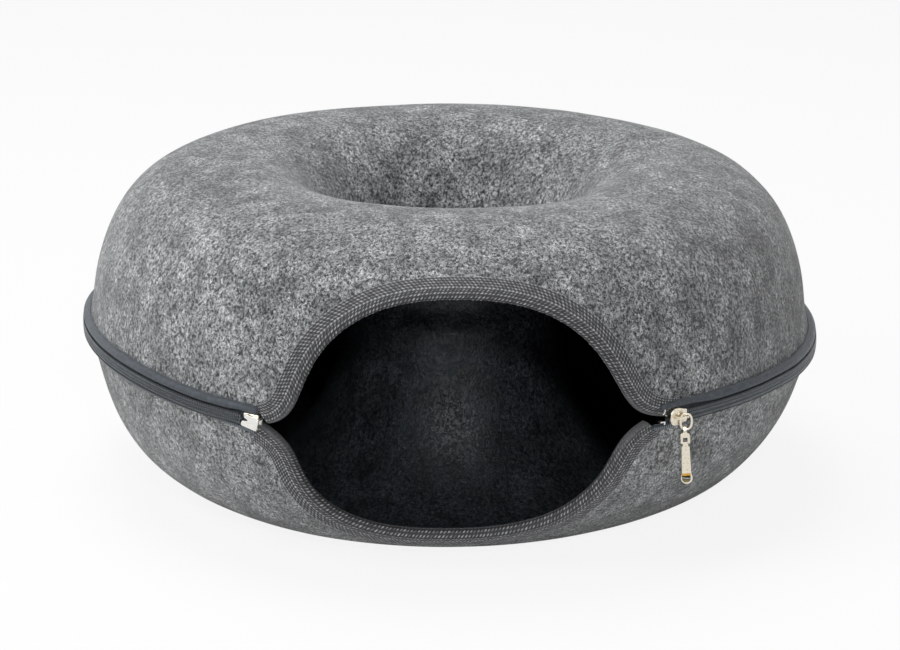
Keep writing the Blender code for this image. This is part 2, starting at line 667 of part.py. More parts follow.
def build_box_and_pin(zipper, home, tools):
    """The retainer box on the lower tape, and the pin on the upper tape that plugs into it."""
    share, front = zipper.share, -zipper.way
    half, height, wall = BOX_LENGTH * share / 2, BOX_HEIGHT * share / 2, BOX_WALL * share
    back, slot, face = zip_room(zipper, BOX_LENGTH * share)
    split, width = TEETH_SPLIT * share / 2, TEETH_WIDTH * share
    row_back = TAPE_THICK * share + GAP
    name = f"{zipper.prefix}retainer_box"
    seat = seat_on(zipper, name, zipper.box, home)
    outline = [(-half, -height), (half, -height), (half, height), (-half, height)]
    box = prism(name, outline, back - wall, face + wall, nickel(), home, wall * 0.5, seat)
    run, over = half + CUT_RUN, height + CUT_RUN
    prong_low, prong_high = sorted((front * (half - wall), front * (half + BOX_PRONG * share)))
    blade, room = split - GAP, split + width + GAP
    upper = [(back, blade), (back, over), (slot, over), (slot, room), (face, room), (face, blade)]
    lower = [(back, -over), (back, -blade), (slot, -blade), (slot, -over)]
    prong = (slot + GAP, prong_low, -split - width), (face - GAP, prong_high, -split)
    tools_here = [
        (channel(f"{name}_upper_channel", upper, run, tools), "DIFFERENCE"),
        (channel(f"{name}_lower_slot", lower, run, tools), "DIFFERENCE"),
        (block(f"{name}_prong", *prong, tools), "UNION"),
    ]
    for tool, operation in tools_here:
        tool.parent = seat
        cut(box, hide(tool), operation)
    pin_ends = sorted((-front * half, front * (half + BOX_PRONG * share / 2)))
    pin_name = f"{zipper.prefix}insert_pin"
    pin_face = face - 2 * GAP
    low, high = (slot, pin_ends[0], split), (pin_face, pin_ends[1], split + width)
    pin = block(pin_name, low, high, home, seat, nickel())
    soften(pin, wall * 0.4)


def channel(name, outline, run, home):
    """A cutter with an outline in X and Z that runs both ways along Y."""
    work = bmesh.new()
    face = work.faces.new([work.verts.new((x, -run, z)) for x, z in outline])
    moved = bmesh.ops.extrude_face_region(work, geom=[face])
    verts = [v for v in moved["geom"] if isinstance(v, bmesh.types.BMVert)]
    bmesh.ops.translate(work, verts=verts, vec=(0, run + run, 0))
    return add_object(name, mesh_of(name, work), None, home)


def soften(piece, width):
    """Rounds a metal piece's edges."""
    step = piece.modifiers.new("round", "BEVEL")
    step.width = width
    step.segments = 1
    step.limit_method = "ANGLE"


def tube(name, bore, outside, width, sides, home):
    """A short tube about local Y."""
    work = bmesh.new()
    turns = [2 * math.pi * i / sides for i in range(sides)]
    rows = []
    for radius, side in ((outside, -1), (outside, 1), (bore, 1), (bore, -1)):
        ring = [(radius * math.cos(a), side * width / 2, radius * math.sin(a)) for a in turns]
        rows.append([work.verts.new(point) for point in ring])
    for a, b in zip(rows, rows[1:] + rows[:1]):
        for i in range(sides):
            j = (i + 1) % sides
            work.faces.new((a[i], a[j], b[j], b[i]))
    return add_object(name, mesh_of(name, work), None, home)


def empty(name, home, place, turn=0.0, parent=None):
    made = bpy.data.objects.new(name, None)
    home.objects.link(made)
    made.location = place
    made.rotation_euler.z = turn
    made.parent = parent
    return made


def collection(name):
    made = bpy.data.collections.get(name) or bpy.data.collections.new(name)
    if made.name not in bpy.context.scene.collection.children:
        bpy.context.scene.collection.children.link(made)
    return made


def main():
    for old in list(bpy.data.objects):
        bpy.data.objects.remove(old, do_unlink=True)
    home, tools = collection("donut_cat_tunnel"), collection("cutters")
    empty("ring_axis", home, axis_place())
    build_shells(home, tools)
    build_bindings(home)
    for zipper in (outer_zip(), inner_zip()):
        build_tapes(zipper, home, tools)
        build_stops(zipper, home)
        build_box_and_pin(zipper, home, tools)
        seat, bar = build_slider(zipper, home, tools)
        if zipper.way > 0:
            build_ring_and_pull(seat, bar, home, tools)
        else:
            build_inner_pull(seat, bar, home)


main()
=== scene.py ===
import json
import bmesh
import bpy
import numpy as np
from math import asin, copysign, cos, exp, pi, radians, sin
from mathutils import Matrix, Vector


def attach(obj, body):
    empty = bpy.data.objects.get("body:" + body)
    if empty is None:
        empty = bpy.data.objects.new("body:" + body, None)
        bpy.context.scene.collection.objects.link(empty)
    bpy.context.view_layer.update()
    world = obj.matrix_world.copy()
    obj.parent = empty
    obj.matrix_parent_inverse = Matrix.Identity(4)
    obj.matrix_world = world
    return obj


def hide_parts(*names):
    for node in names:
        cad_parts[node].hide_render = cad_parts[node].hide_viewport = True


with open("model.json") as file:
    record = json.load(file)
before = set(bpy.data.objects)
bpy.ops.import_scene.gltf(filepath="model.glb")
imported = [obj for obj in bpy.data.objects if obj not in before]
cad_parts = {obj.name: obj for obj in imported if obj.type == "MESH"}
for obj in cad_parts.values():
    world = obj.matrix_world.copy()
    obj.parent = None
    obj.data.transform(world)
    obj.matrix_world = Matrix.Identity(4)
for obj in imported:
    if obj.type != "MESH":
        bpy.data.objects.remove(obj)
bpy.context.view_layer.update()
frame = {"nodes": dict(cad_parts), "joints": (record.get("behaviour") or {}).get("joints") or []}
mm = 0.001

# The ring's axis and the zips' levels come from the sliders' joints.
joints = {joint["name"]: joint for joint in frame["joints"]}
ringAxis = Vector(joints["slider_travel"]["pos_m"])
zipLevel = ringAxis.z
innerZipLevel = joints["inner_slider_travel"]["pos_m"][2]
ringAxis.z = 0
print("frame loaded")


def toLinear(hexColour):
    # sRGB hex to the linear colour that Blender wants
    parts = [int(hexColour[i:i + 2], 16) / 255 for i in (1, 3, 5)]
    return [p / 12.92 if p <= 0.04045 else ((p + 0.055) / 1.055) ** 2.4 for p in parts] + [1.0]


def fillInputs(node, inputs):
    # an input given as a socket is linked, hex text becomes its colour, anything else its value
    for key, value in inputs.items():
        if isinstance(value, bpy.types.NodeSocket):
            node.id_data.links.new(value, node.inputs[key])
        else:
            node.inputs[key].default_value = toLinear(value) if isinstance(value, str) else value


def addNode(tree, kind, inputs=None, **settings):
    # adds a node, its settings first, since they decide which inputs it has
    node = tree.nodes.new("ShaderNode" + kind)
    for name, value in settings.items():
        setattr(node, name, value)
    fillInputs(node, inputs or {})
    return node


def reckon(tree, operation, *values):
    return addNode(tree, "Math", dict(enumerate(values)), operation=operation).outputs[0]


def noiseOf(tree, vector, scale, detail):
    return addNode(tree, "TexNoise", {"Vector": vector, "Scale": scale, "Detail": detail}).outputs[0]


def stretch(tree, value, low, high, toLow=0.0, toHigh=1.0):
    # carries the range from low to high over to another, and holds it there
    return addNode(tree, "MapRange", {0: value, 1: low, 2: high, 3: toLow, 4: toHigh}).outputs[0]


def blend(tree, share, a, b, mode="MIX"):
    inputs = {0: share, "A": a, "B": b}
    return addNode(tree, "Mix", inputs, data_type="RGBA", blend_type=mode).outputs["Result"]


def rampOf(tree, value, stops):
    # a colour ramp through (place, hex colour) pairs in rising order
    ramp = addNode(tree, "ValToRGB", {0: value})
    elements = ramp.color_ramp.elements
    for k, (place, colour) in enumerate(stops):
        element = elements[k] if k < 2 else elements.new(place)
        element.position, element.color = place, toLinear(colour)
    return ramp.outputs[0]


def bumpOf(tree, height, strength, reliefMm):
    # the looks give bump as (strength, mm)
    inputs = {"Height": height, "Strength": strength, "Distance": reliefMm * mm}
    return addNode(tree, "Bump", inputs).outputs[0]


def newMaterial(name):
    # a material with an empty tree and its shader and output in place
    material = bpy.data.materials.new(name)
    material.use_nodes = True
    tree = material.node_tree
    tree.nodes.clear()
    shader = addNode(tree, "BsdfPrincipled")
    addNode(tree, "OutputMaterial", {"Surface": shader.outputs[0]})
    return material, tree, shader


def addObject(name, data):
    thing = bpy.data.objects.new(name, data)
    bpy.context.scene.collection.objects.link(thing)
    return thing


def meshObject(name, verts, faces):
    # a mesh from points about the ring's axis
    mesh = bpy.data.meshes.new(name)
    mesh.from_pydata(np.asarray(verts, float) + np.array(ringAxis), [], faces)
    return addObject(name, mesh)


def makePiece(name, verts, faces, material, body, stands, uv=None):
    # a smooth piece that rides on a CAD body
    piece = meshObject(name, verts, faces)
    piece.data.materials.append(material)
    piece.data.shade_smooth()
    if uv is not None:
        layer = piece.data.uv_layers.new(name="UVMap")
        corner = np.zeros(len(piece.data.loops), int)
        piece.data.loops.foreach_get("vertex_index", corner)
        layer.data.foreach_set("uv", np.asarray(uv, float)[corner].ravel())
    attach(piece, body)
    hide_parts(*stands)
    return piece


def getPoints(piece):
    points = np.zeros(len(piece.data.vertices) * 3)
    piece.data.vertices.foreach_get("co", points)
    return points.reshape(-1, 3)


def addValues(piece, name, values):
    # a number for each point, for the materials to read
    piece.data.attributes.new(name, "FLOAT", "POINT").data.foreach_set("value", values)


def fixNormals(piece):
    # turns every closed shell's faces outwards
    work = bmesh.new()
    work.from_mesh(piece.data)
    bmesh.ops.recalc_face_normals(work, faces=work.faces)
    work.to_mesh(piece.data)
    work.free()


def gridFaces(rows, columns, wrapRows=False, wrapColumns=False):
    # quads over a grid of points kept row by row
    faces = []
    for i in range(rows if wrapRows else rows - 1):
        for j in range(columns if wrapColumns else columns - 1):
            a, b = i * columns + j, i * columns + (j + 1) % columns
            c, d = (i + 1) % rows * columns + (j + 1) % columns, (i + 1) % rows * columns + j
            faces.append((a, b, c, d))
    return faces


def endFaces(rows, width):
    # quads that close a folded strip at its first and last row
    faces = []
    for row in (0, rows - 1):
        for k in range(width // 2 - 1):
            quad = [row * width + step for step in (k, k + 1, width - 2 - k, width - 1 - k)]
            faces.append(quad if row else quad[::-1])
    return faces


def runAlong(points):
    # the length of a line up to each of its points
    return np.concatenate([[0], np.cumsum(np.linalg.norm(np.diff(points, axis=0), axis=1))])


def unit(vectors):
    return vectors / np.linalg.norm(vectors, axis=1)[:, None]


def turned(radius, turn, height):
    # points about the ring's axis at a turn in radians
    return np.stack(np.broadcast_arrays(radius * np.cos(turn), radius * np.sin(turn), height), -1)


def bell(x, width):
    return np.exp(-(x / width) ** 2)


def fade(x, start, run):
    # rises from 0 at start to 1 at start + run
    return np.clip((x - start) / run, 0, 1)


def smoothNoise(points, size, seed):
    # soft random heights from -1 to 1 whose bumps are about size metres wide
    mix = np.random.default_rng(seed)
    total = np.zeros(len(points))
    for _ in range(10):
        way = mix.normal(size=3)
        way *= 2 * pi / size / np.linalg.norm(way) * mix.uniform(0.5, 1.4)
        total += np.sin(points @ way + mix.uniform(0, 2 * pi))
    return total / 4.5


photoView = {
    "width": 900, "focalPixels": 2823, "distance": 1.960, "tilt": 16.8, "turn": 1.6, "roll": 0.47,
    "lookHeight": 0.100, "centreLeft": 0.96, "centreUp": 0.3,
}


def addCamera():
    # the camera stands where the photograph's perspective and the ring's ellipses put it
    tilt, turn, roll = (radians(photoView[key]) for key in ("tilt", "turn", "roll"))
    back = Vector((-sin(turn) * cos(tilt), -cos(turn) * cos(tilt), sin(tilt)))
    data = bpy.data.cameras.new("photoCamera")
    data.lens = photoView["focalPixels"] / photoView["width"] * data.sensor_width
    data.shift_x = photoView["centreLeft"] / photoView["width"]
    data.shift_y = -photoView["centreUp"] / photoView["width"]
    camera = addObject("photoCamera", data)
    spot = ringAxis + Vector((0, 0, photoView["lookHeight"])) + back * photoView["distance"]
    aim = back.to_track_quat("Z", "Y").to_matrix().to_4x4()
    camera.matrix_world = Matrix.Translation(spot) @ aim @ Matrix.Rotation(roll, 4, "Z")
    bpy.context.scene.camera = camera


# Lamps are (power in W, size, place); they aim at aimHeight on the ring's axis. Metres. shadowShare is
# how much of the floor's own shading shows through its white.
studio = {
    "floorSize": 8.0, "floorColour": "#f6f6f5", "floorRoughness": 0.9, "shadowShare": 0.12,
    "worldColour": "#ffffff", "worldStrength": 0.11, "aimHeight": 0.1,
    "lamps": {"key": (20.0, 1.2, (-1.9, -0.8, 1.7)), "front": (8.5, 0.18, (0.1, -1.94, 1.03)),
              "top": (43.0, 1.6, (-0.4, 0.5, 2.5))},
}


def whitened(tree, own, kind, share=1.0):
    # the camera, mirror and glass rays see plain white in place of a share of the surface's own look
    rays = addNode(tree, "LightPath").outputs
    seen = reckon(tree, "MAXIMUM", rays["Is Camera Ray"], rays["Is Glossy Ray"])
    seen = reckon(tree, "MULTIPLY", reckon(tree, "MAXIMUM", seen, rays["Is Transmission Ray"]), share)
    white = addNode(tree, kind, {"Color": "#ffffff", "Strength": 1.0})
    return addNode(tree, "MixShader", {0: seen, 1: own.outputs[0], 2: white.outputs[0]}).outputs[0]


def addFloor():
    # a white sweep that keeps a soft part of the shadow
    paint, tree, shader = newMaterial("whitePaperSweep")
    fillInputs(shader, {"Base Color": studio["floorColour"], "Roughness": studio["floorRoughness"]})
    white = whitened(tree, shader, "Emission", 1 - studio["shadowShare"])
    fillInputs(tree.nodes["Material Output"], {"Surface": white})
    size = studio["floorSize"]
    floor = bpy.data.meshes.new("floor")
    floor.from_pydata([(-size, -size, 0), (size, -size, 0), (size, size, 0), (-size, size, 0)], [], [(0, 1, 2, 3)])
    floor.materials.append(paint)
    addObject("floor", floor)


def addWorld():
    world = bpy.context.scene.world or bpy.data.worlds.new("studio")
    bpy.context.scene.world = world
    world.use_nodes = True
    tree = world.node_tree
    tree.nodes.clear()
    soft = addNode(tree, "Background", {"Color": studio["worldColour"], "Strength": studio["worldStrength"]})
    addNode(tree, "OutputWorld", {"Surface": whitened(tree, soft, "Background")})


def addLamps():
    for name, (power, size, place) in studio["lamps"].items():
        lamp = bpy.data.lights.new(name + "Softbox", "AREA")
        lamp.energy, lamp.size = power, size
        box = addObject(name + "Softbox", lamp)
        box.location = place
        aim = ringAxis + Vector((0, 0, studio["aimHeight"])) - box.location
        box.rotation_euler = aim.to_track_quat("-Z", "Y").to_euler()


addCamera()
addFloor()
addWorld()
addLamps()
bpy.context.scene.view_settings.view_transform = "Standard"
print("camera and studio set")


# The felt's outer face: a rounded section about the ring line, widest at the zip. Metres.
ringForm = {
    "ringRadius": 0.150, "outerHalf": 0.0944, "innerHalf": 0.0770, "crownRise": 0.117, "underZip": 0.1042,
    "upperPower": 2.5, "lowerPower": 1.95, "feltThick": 0.0040, "edgeGap": 0.0063, "innerShare": 0.72,
    "floorRun": 0.02,
}
ringRadius = ringForm["ringRadius"]
feltRadius = ringRadius + ringForm["outerHalf"]
# How the real ring has settled, by degrees from the doorway's middle, right positive, in mm: how much
# higher and further out the zip lies, and how far under it the lower felt begins.
settledColumns = ("angle", "rise", "reach", "lowerEdge")
settledZip = dict(zip(settledColumns, np.array([
    (-180, 0, 0, 7), (-140, 2, 0.8, 7), (-110, 4, 3, 7), (-90, 5.5, 3, 7), (-76, 5.5, 2, 7),
    (-68, 5, 1.4, 7.1), (-60, 4.2, 0.8, 7.2), (-54, 3.2, 0.4, 7.3), (-47, 1.4, 0, 6.3), (-40, -0.3, 0, 5.2),
    (-33, -0.8, 0, 7.4), (-28, -1.1, 0, 8.2), (0, 0, 0, 8.2), (29, -0.2, 0, 7.4), (35, -0.3, 0, 7),
    (40, -0.5, 0, 4.4), (44, -0.6, 0.3, 3.3), (50, -0.9, 0.8, 3.4), (57, -1.2, 1.5, 3.5), (64, -2, 3, 3.6),
    (75, -2.4, 3.8, 4.2), (90, -2.4, 4, 5), (120, -1.5, 3, 6.5), (150, -0.5, 0.8, 7), (180, 0, 0, 7),
]).T))
# The crown has sunk and the foot has moved out, as (degrees, mm) pairs; the wall is tucked in under the
# zip on the left, and the doorway's corners have dropped. Spreads, starts and runs are in metres from
# the zip's level, widths in degrees.
settledForm = {
    "zipSpread": 0.045, "reachSpread": 0.015, "wallRun": 0.06,
    "crown": [(-180, 0.1), (-120, 0.2), (-90, 0.2), (-60, 0.6), (-40, 1.6), (0, 2.0), (40, 2.0), (60, 1.8),
              (90, 1.6), (120, 1.2), (150, 0.6), (180, 0.1)],
    "crownStart": 0.085, "crownRun": 0.032,
    "foot": [(-180, 0), (-90, 0.3), (-60, 2.0), (-45, 3.2), (-30, 3.2), (-15, 1), (0, -2), (15, -3.5),
             (30, -4.5), (45, -4), (60, -2.4), (90, -0.6), (180, 0)],
    "footStart": 0.03, "footRun": 0.07,
    "tuck": 1.2, "tuckAngle": -85, "tuckWidth": 38, "tuckBelow": 0.042, "tuckSpread": 0.030,
    "cornerDrop": {-27: 2.2, 27: 0.9}, "cornerWidth": 5.5, "cornerSpread": 0.022,
}
# The slight unevenness of a moulded felt wall: (size m, seed, height mm). It is gone at the zip.
waveForm = {"waves": ((0.16, 4, 0.9), (0.06, 9, 0.25)), "calmStart": 0.25, "calmRun": 0.04}


def settled(name, angle):
    return np.interp(angle, settledZip["angle"], settledZip[name])


def sectionParts(across, above):
    # half width, rise and power of the section where a point lies
    half = np.where(across >= 0, ringForm["outerHalf"], ringForm["innerHalf"])
    rise = np.where(above >= 0, ringForm["crownRise"], ringForm["underZip"])
    power = np.where(above >= 0, ringForm["upperPower"], ringForm["lowerPower"])
    return half, rise, power


def fromDoor(points):
    # degrees round the ring from the doorway's middle
    return np.degrees(np.arctan2(points[:, 0], -points[:, 1]))


def settle(piece):
    # moves a finished piece's points as the real ring has settled
    form = settledForm
    points = getPoints(piece) - np.array(ringAxis)
    angle, above = fromDoor(points), points[:, 2] - zipLevel
    radius = np.hypot(points[:, 0], points[:, 1])
    outside = fade(radius, ringRadius, form["wallRun"])
    lift = settled("rise", angle) * bell(above, form["zipSpread"]) * outside * mm
    reach = settled("reach", angle) * bell(above, form["reachSpread"])
    tuck = form["tuck"] * bell(angle - form["tuckAngle"], form["tuckWidth"])
    reach -= tuck * bell(above + form["tuckBelow"], form["tuckSpread"])
    reach += np.interp(angle, *np.array(form["foot"]).T) * fade(-above, form["footStart"], form["footRun"])
    reach *= outside * mm / np.maximum(radius, mm)
    points[:, 0] += points[:, 0] * reach
    points[:, 1] += points[:, 1] * reach
    points[:, 2] += lift * fade(points[:, 2], 0, ringForm["floorRun"])
    high = fade(above, form["crownStart"], form["crownRun"])
    points[:, 2] -= np.interp(angle, *np.array(form["crown"]).T) * mm * high ** 2 * (3 - 2 * high)
    for corner, drop in form["cornerDrop"].items():
        near = bell(angle - corner, form["cornerWidth"]) * bell(above, form["cornerSpread"])
        points[:, 2] -= drop * mm * near * outside
    piece.data.vertices.foreach_set("co", (points + np.array(ringAxis)).ravel())
    piece.data.update()
    return piece


def handWaves(points):
    calm = np.clip(np.abs(points[:, 2] - zipLevel) / waveForm["calmRun"] - waveForm["calmStart"], 0, 1)
    return calm * sum(smoothNoise(points, size, seed) * high for size, seed, high in waveForm["waves"]) * mm


def onFelt(points, lift):
    # the places on the felt's outer face under the points, moved out along the face by lift
    points = np.atleast_2d(np.asarray(points, float))
    azimuth = np.arctan2(points[:, 1], points[:, 0])
    across = np.hypot(points[:, 0], points[:, 1]) - ringRadius
    above = points[:, 2] - zipLevel
    half, rise, power = sectionParts(across, above)
    scale = (np.abs(across / half) ** power + np.abs(above / rise) ** power) ** (-1 / power)
    across, above = across * scale, above * scale
    slopeR = np.sign(across) * np.abs(across / half) ** (power - 1) / half
    slopeZ = np.sign(above) * np.abs(above / rise) ** (power - 1) / rise
    lift = (lift + handWaves(points)) / np.hypot(slopeR, slopeZ)
    return turned(ringRadius + across + slopeR * lift, azimuth, zipLevel + above + slopeZ * lift)


def sectionAt(angles):
    # radius and height on the section for angles from the outer waist (0) over the crown
    c, s = np.cos(angles), np.sin(angles)
    half, rise, power = sectionParts(c, s)
    radius = ringRadius + half * np.sign(c) * np.abs(c) ** (2 / power)
    return radius, zipLevel + rise * np.sign(s) * np.abs(s) ** (2 / power)


def angleAt(height):
    # the section angle on the outer side at a height
    _, rise, power = sectionParts(1, height - zipLevel)
    share = (height - zipLevel) / rise
    return asin(copysign(abs(share) ** (power / 2), share))


# The doorway's edge, measured from the zip's level over the binding. By side, it flares out towards the
# zip and ends in a tip: (how far out, over what height). Metres.
doorForm = {
    "upper": {
        "half": 0.0972, "rise": 0.0823, "power": 2.32, "shift": -0.0005, "corner": 0.0008, "way": 1,
        "flare": {-1: (0.0129, 0.0144), 1: (0.0201, 0.0204)}, "tip": {-1: (0.0085, 0.0045), 1: (0.0145, 0.0040)},
    },
    "lower": {
        "half": 0.0980, "rise": 0.0780, "power": 2.62, "shift": -0.0040, "corner": 0.0006, "way": -1,
        "flare": {-1: (0.0222, 0.0095), 1: (0.0178, 0.0179)}, "tip": {1: (0.0075, 0.0045)},
    },
    "steps": 4001, "normalRun": 0.01,
}


def doorCurve(part, spacing):
    # even points along one half of the doorway's edge and the direction out of the opening at each
    form = doorForm[part]
    power = form["power"]
    first = asin((form["corner"] / form["rise"]) ** (power / 2))
    turn = np.linspace(first, pi - first, doorForm["steps"])
    z = form["rise"] * np.sin(turn) ** (2 / power)
    c = np.cos(turn) * form["way"]
    _, rise, sectionPower = sectionParts(1, form["way"])
    radius = ringRadius + ringForm["outerHalf"] * (1 - (z / rise) ** sectionPower) ** (1 / sectionPower)

    def sweep(x, ends):
        for side, (far, reach) in ends.items():
            x = np.where(c * side > 0, x + side * far * np.exp(-z / reach), x)
        return x

    def onWall(x):
        return np.stack([x, -np.sqrt(radius ** 2 - x ** 2), zipLevel + form["way"] * z], -1)

    x = sweep(form["half"] * np.sign(c) * np.abs(c) ** (2 / power) + form["shift"], form["flare"])
    # the tips leave the webbing's direction as it was
    plain, fine = onWall(x), onWall(sweep(x, form["tip"]))
    run = runAlong(fine)
    at = np.linspace(0, run[-1], max(8, round(run[-1] / spacing)) + 1)
    points, plain = (np.stack([np.interp(at, run, line[:, k]) for k in range(3)], -1) for line in (fine, plain))
    out = np.cross(np.gradient(plain, axis=0), onFelt(plain, doorForm["normalRun"]) - onFelt(plain, 0))
    return points, unit(out), at


# Needle-punched polyester felt, moulded hot over a form: a matt mix of light, mid and dark grey
# fibres that lie every way, 2 to 5 mm of each showing, so the face looks heathered and hairy. Ranges
# are (low, high) of a noise and what they become; a hair is (size in fibres, seed, width, twist).
feltLook = {
    "dark": "#17191b", "mid": "#56595b", "pale": "#b3b6b8", "white": "#f2f4f6",
    "roughness": 0.95, "sheen": 0.30, "specular": 0.2,
    "blotchMm": 17.0, "tuftMm": 4.6, "fibreMm": 3.0, "grainMm": 1.5, "breakMm": 2.3, "upright": 0.75,
    "tuftRange": (0.38, 0.62), "grainRange": (0.42, 0.60, 0.0, 0.85), "blotchRange": (0.34, 0.66, 0.60, 1.32),
    "breakRange": (0.42, 0.60), "noiseRoughness": 0.6, "tuftTwist": 0.6,
    "darkHair": (1.2, 5.0, 0.060, 1.2), "darkShare": 0.85,
    "paleHairs": ((1.0, 6.0, 0.055, 1.5), (1.5, 7.0, 0.040, 2.0)),
    "bump": (0.7, 0.6), "sheenRoughness": 0.6,
}
# The wall's inner face: its darker, bluish colours are painted shade for the dim tunnel; the face is closed and a
# little glossy, as if pressed against the hot form.
insideShadeLook = {
    "dark": "#0c0f12", "mid": "#21262a", "pale": "#464d52", "white": "#5d646a",
    "roughness": 0.36, "sheen": 0.0, "specular": 0.32,
}


def feltMaterial(name, look):
    material, tree, shader = newMaterial(name)
    form = feltLook
    place = addNode(tree, "TexCoord").outputs["Object"]
    tall = addNode(tree, "Mapping", {"Vector": place, "Scale": (1, 1, form["upright"])}).outputs[0]

    def grainOf(size, detail, seed, twist=0.0):
        inputs = {"Vector": tall, "W": seed, "Scale": 1000 / size, "Detail": detail, "Distortion": twist}
        inputs["Roughness"] = form["noiseRoughness"]
        return addNode(tree, "TexNoise", inputs, noise_dimensions="4D").outputs[0]

    def hairs(size, seed, width, twist):
        # thin wandering lines where a soft noise crosses its middle value
        off = reckon(tree, "SUBTRACT", grainOf(form["fibreMm"] * size, 1.0, seed, twist), 0.5)
        return stretch(tree, reckon(tree, "ABSOLUTE", off), 0.0, width, 1.0, 0.0)

    blotch = grainOf(form["blotchMm"], 2.0, 1.0)
    tuft = grainOf(form["tuftMm"], 3.0, 2.0, form["tuftTwist"])
    grain = grainOf(form["grainMm"], 2.0, 3.0)
    body = blend(tree, stretch(tree, tuft, *form["tuftRange"]), look["dark"], look["mid"])
    darkHair = reckon(tree, "MULTIPLY", hairs(*form["darkHair"]), form["darkShare"])
    paleHair = reckon(tree, "MAXIMUM", *(hairs(*hair) for hair in form["paleHairs"]))
    broken = stretch(tree, grainOf(form["breakMm"], 1.0, 8.0), *form["breakRange"])
    paleHair = reckon(tree, "MULTIPLY", paleHair, broken)
    layers = ((stretch(tree, grain, *form["grainRange"]), "pale"), (darkHair, "dark"), (paleHair, "white"))
    for share, colour in layers:
        body = blend(tree, share, body, look[colour])
    body = blend(tree, 1.0, body, stretch(tree, blotch, *form["blotchRange"]), "MULTIPLY")
    height = reckon(tree, "ADD", grain, paleHair)
    fillInputs(shader, {
        "Base Color": body, "Normal": bumpOf(tree, height, *form["bump"]),
        "Roughness": look["roughness"], "Sheen Weight": look["sheen"], "Sheen Roughness": form["sheenRoughness"],
        "Specular IOR Level": look["specular"],
    })
    return material


# The wall's skins from the outer face in: (share of the thickness, rounding beyond its ends in mm).
feltMesh = {
    "around": 360, "across": 90, "fine": 1200, "skins": ((0, 0.3), (0.22, 1.1), (0.78, 1.1), (1, 0.3)),
    "doorTrim": 0.0017, "doorSpacing": 0.0030, "cutRun": 0.015, "sharpAngle": 45,
}
# In the hole, at the front, the two edges nearly meet, and the upper one hangs over the lower one on the
# tunnel's side. Metres, degrees.
seamForm = {"overhang": 0.0110, "reach": 0.009, "gap": 0.0006, "frontEnd": 100, "frontRun": 20, "overhangWidth": 75}
# Under the zip on the right, where lowerEdge is under the first value, the felt stands as proud as the coil.
proudForm = {"edge": 6.4, "edgeRun": 3, "rise": 0.0034, "spread": 0.007, "lap": 0.0006}


def feltEdges(part, angle):
    # the section angles where a half's felt ends, in the hole and outside, at degrees from the doorway
    front = fade(seamForm["frontEnd"] - abs(angle), 0, seamForm["frontRun"])
    innerGap = ringForm["edgeGap"] * ringForm["innerShare"] * (1 - front) + seamForm["gap"] * front
    if part == "upper":
        return pi - angleAt(innerZipLevel + innerGap), angleAt(zipLevel + ringForm["edgeGap"])
    outer = min(settled("lowerEdge", angle) * mm - proudForm["lap"], ringForm["edgeGap"])
    return -pi - angleAt(innerZipLevel - innerGap), angleAt(zipLevel - outer)


def feltSection(part, angle):
    # even points along the half's outer face, from the hole's edge to the outer edge, and their normals
    radius, height = sectionAt(np.linspace(*feltEdges(part, angle), feltMesh["fine"]))
    height = np.maximum(height, 0)
    run = runAlong(np.stack([radius, height], -1))
    at = np.linspace(0, run[-1], feltMesh["across"])
    radius, height = np.interp(at, run, radius), np.interp(at, run, height)
    alongR, alongZ = np.gradient(radius), np.gradient(height)
    length = np.hypot(alongR, alongZ)
    side = 1 if part == "upper" else -1
    return radius, height, -side * alongZ / length, side * alongR / length


def feltRow(part, angle):
    # the wall's closed cross section: the outer face, rounded edges, and the inner face back
    wall = ringForm["feltThick"]
    radius, height, normalR, normalZ = feltSection(part, angle)
    turn = radians(angle - 90)
    wave = handWaves(turned(radius, turn, height)) * fade(height, 0, ringForm["floorRun"])
    depth = np.full(len(radius), wall)
    if part == "lower":
        proud = fade(proudForm["edge"] - settled("lowerEdge", angle), 0, proudForm["edgeRun"]) * proudForm["rise"]
        wave += proud * bell(height - height[-1], proudForm["spread"]) * (radius > ringRadius)
    else:
        swell = seamForm["overhang"] * exp(-(angle / seamForm["overhangWidth"]) ** 4)
        depth += swell * bell(height - height[0], seamForm["reach"]) * (radius < ringRadius)
    skins = []
    for share, ends in feltMesh["skins"]:
        r, z = radius + normalR * (wave - depth * share), height + normalZ * (wave - depth * share)
        for end, step in ((0, 1), (-1, -2)):
            along = np.array([radius[end] - radius[step], height[end] - height[step]])
            along *= ends * mm / np.linalg.norm(along)
            r[end], z[end] = r[end] + along[0], z[end] + along[1]
        skins.append(np.stack([r, np.maximum(z, np.minimum(depth * share, wall))]))
    face, nearFace, nearInside, inside = skins
    edge = [nearFace[:, -1:], nearInside[:, -1:]], [nearInside[:, :1], nearFace[:, :1]]
    r, z = np.concatenate([face, *edge[0], inside[:, ::-1], *edge[1]], axis=1)
    return turned(r, turn, z)


def buildFelt(part, material, inside):
    rows = np.array([feltRow(part, angle) for angle in np.linspace(-180, 180, feltMesh["around"], endpoint=False)])
    faces = gridFaces(len(rows), rows.shape[1], True, True)
    verts, stands = rows.reshape(-1, 3), [part + "_shell"]
    piece = makePiece(part + "Felt", verts, faces, material, part + "_half", stands)
    # the inner faces take the darker inside felt, whose colours are painted shade
    piece.data.materials.append(inside)
    column, count = np.tile(np.arange(rows.shape[1]), len(rows)), feltMesh["across"]
    piece.data.polygons.foreach_set("material_index", ((column > count) & (column < 2 * count + 2)).astype(int))
    fixNormals(piece)
    return piece


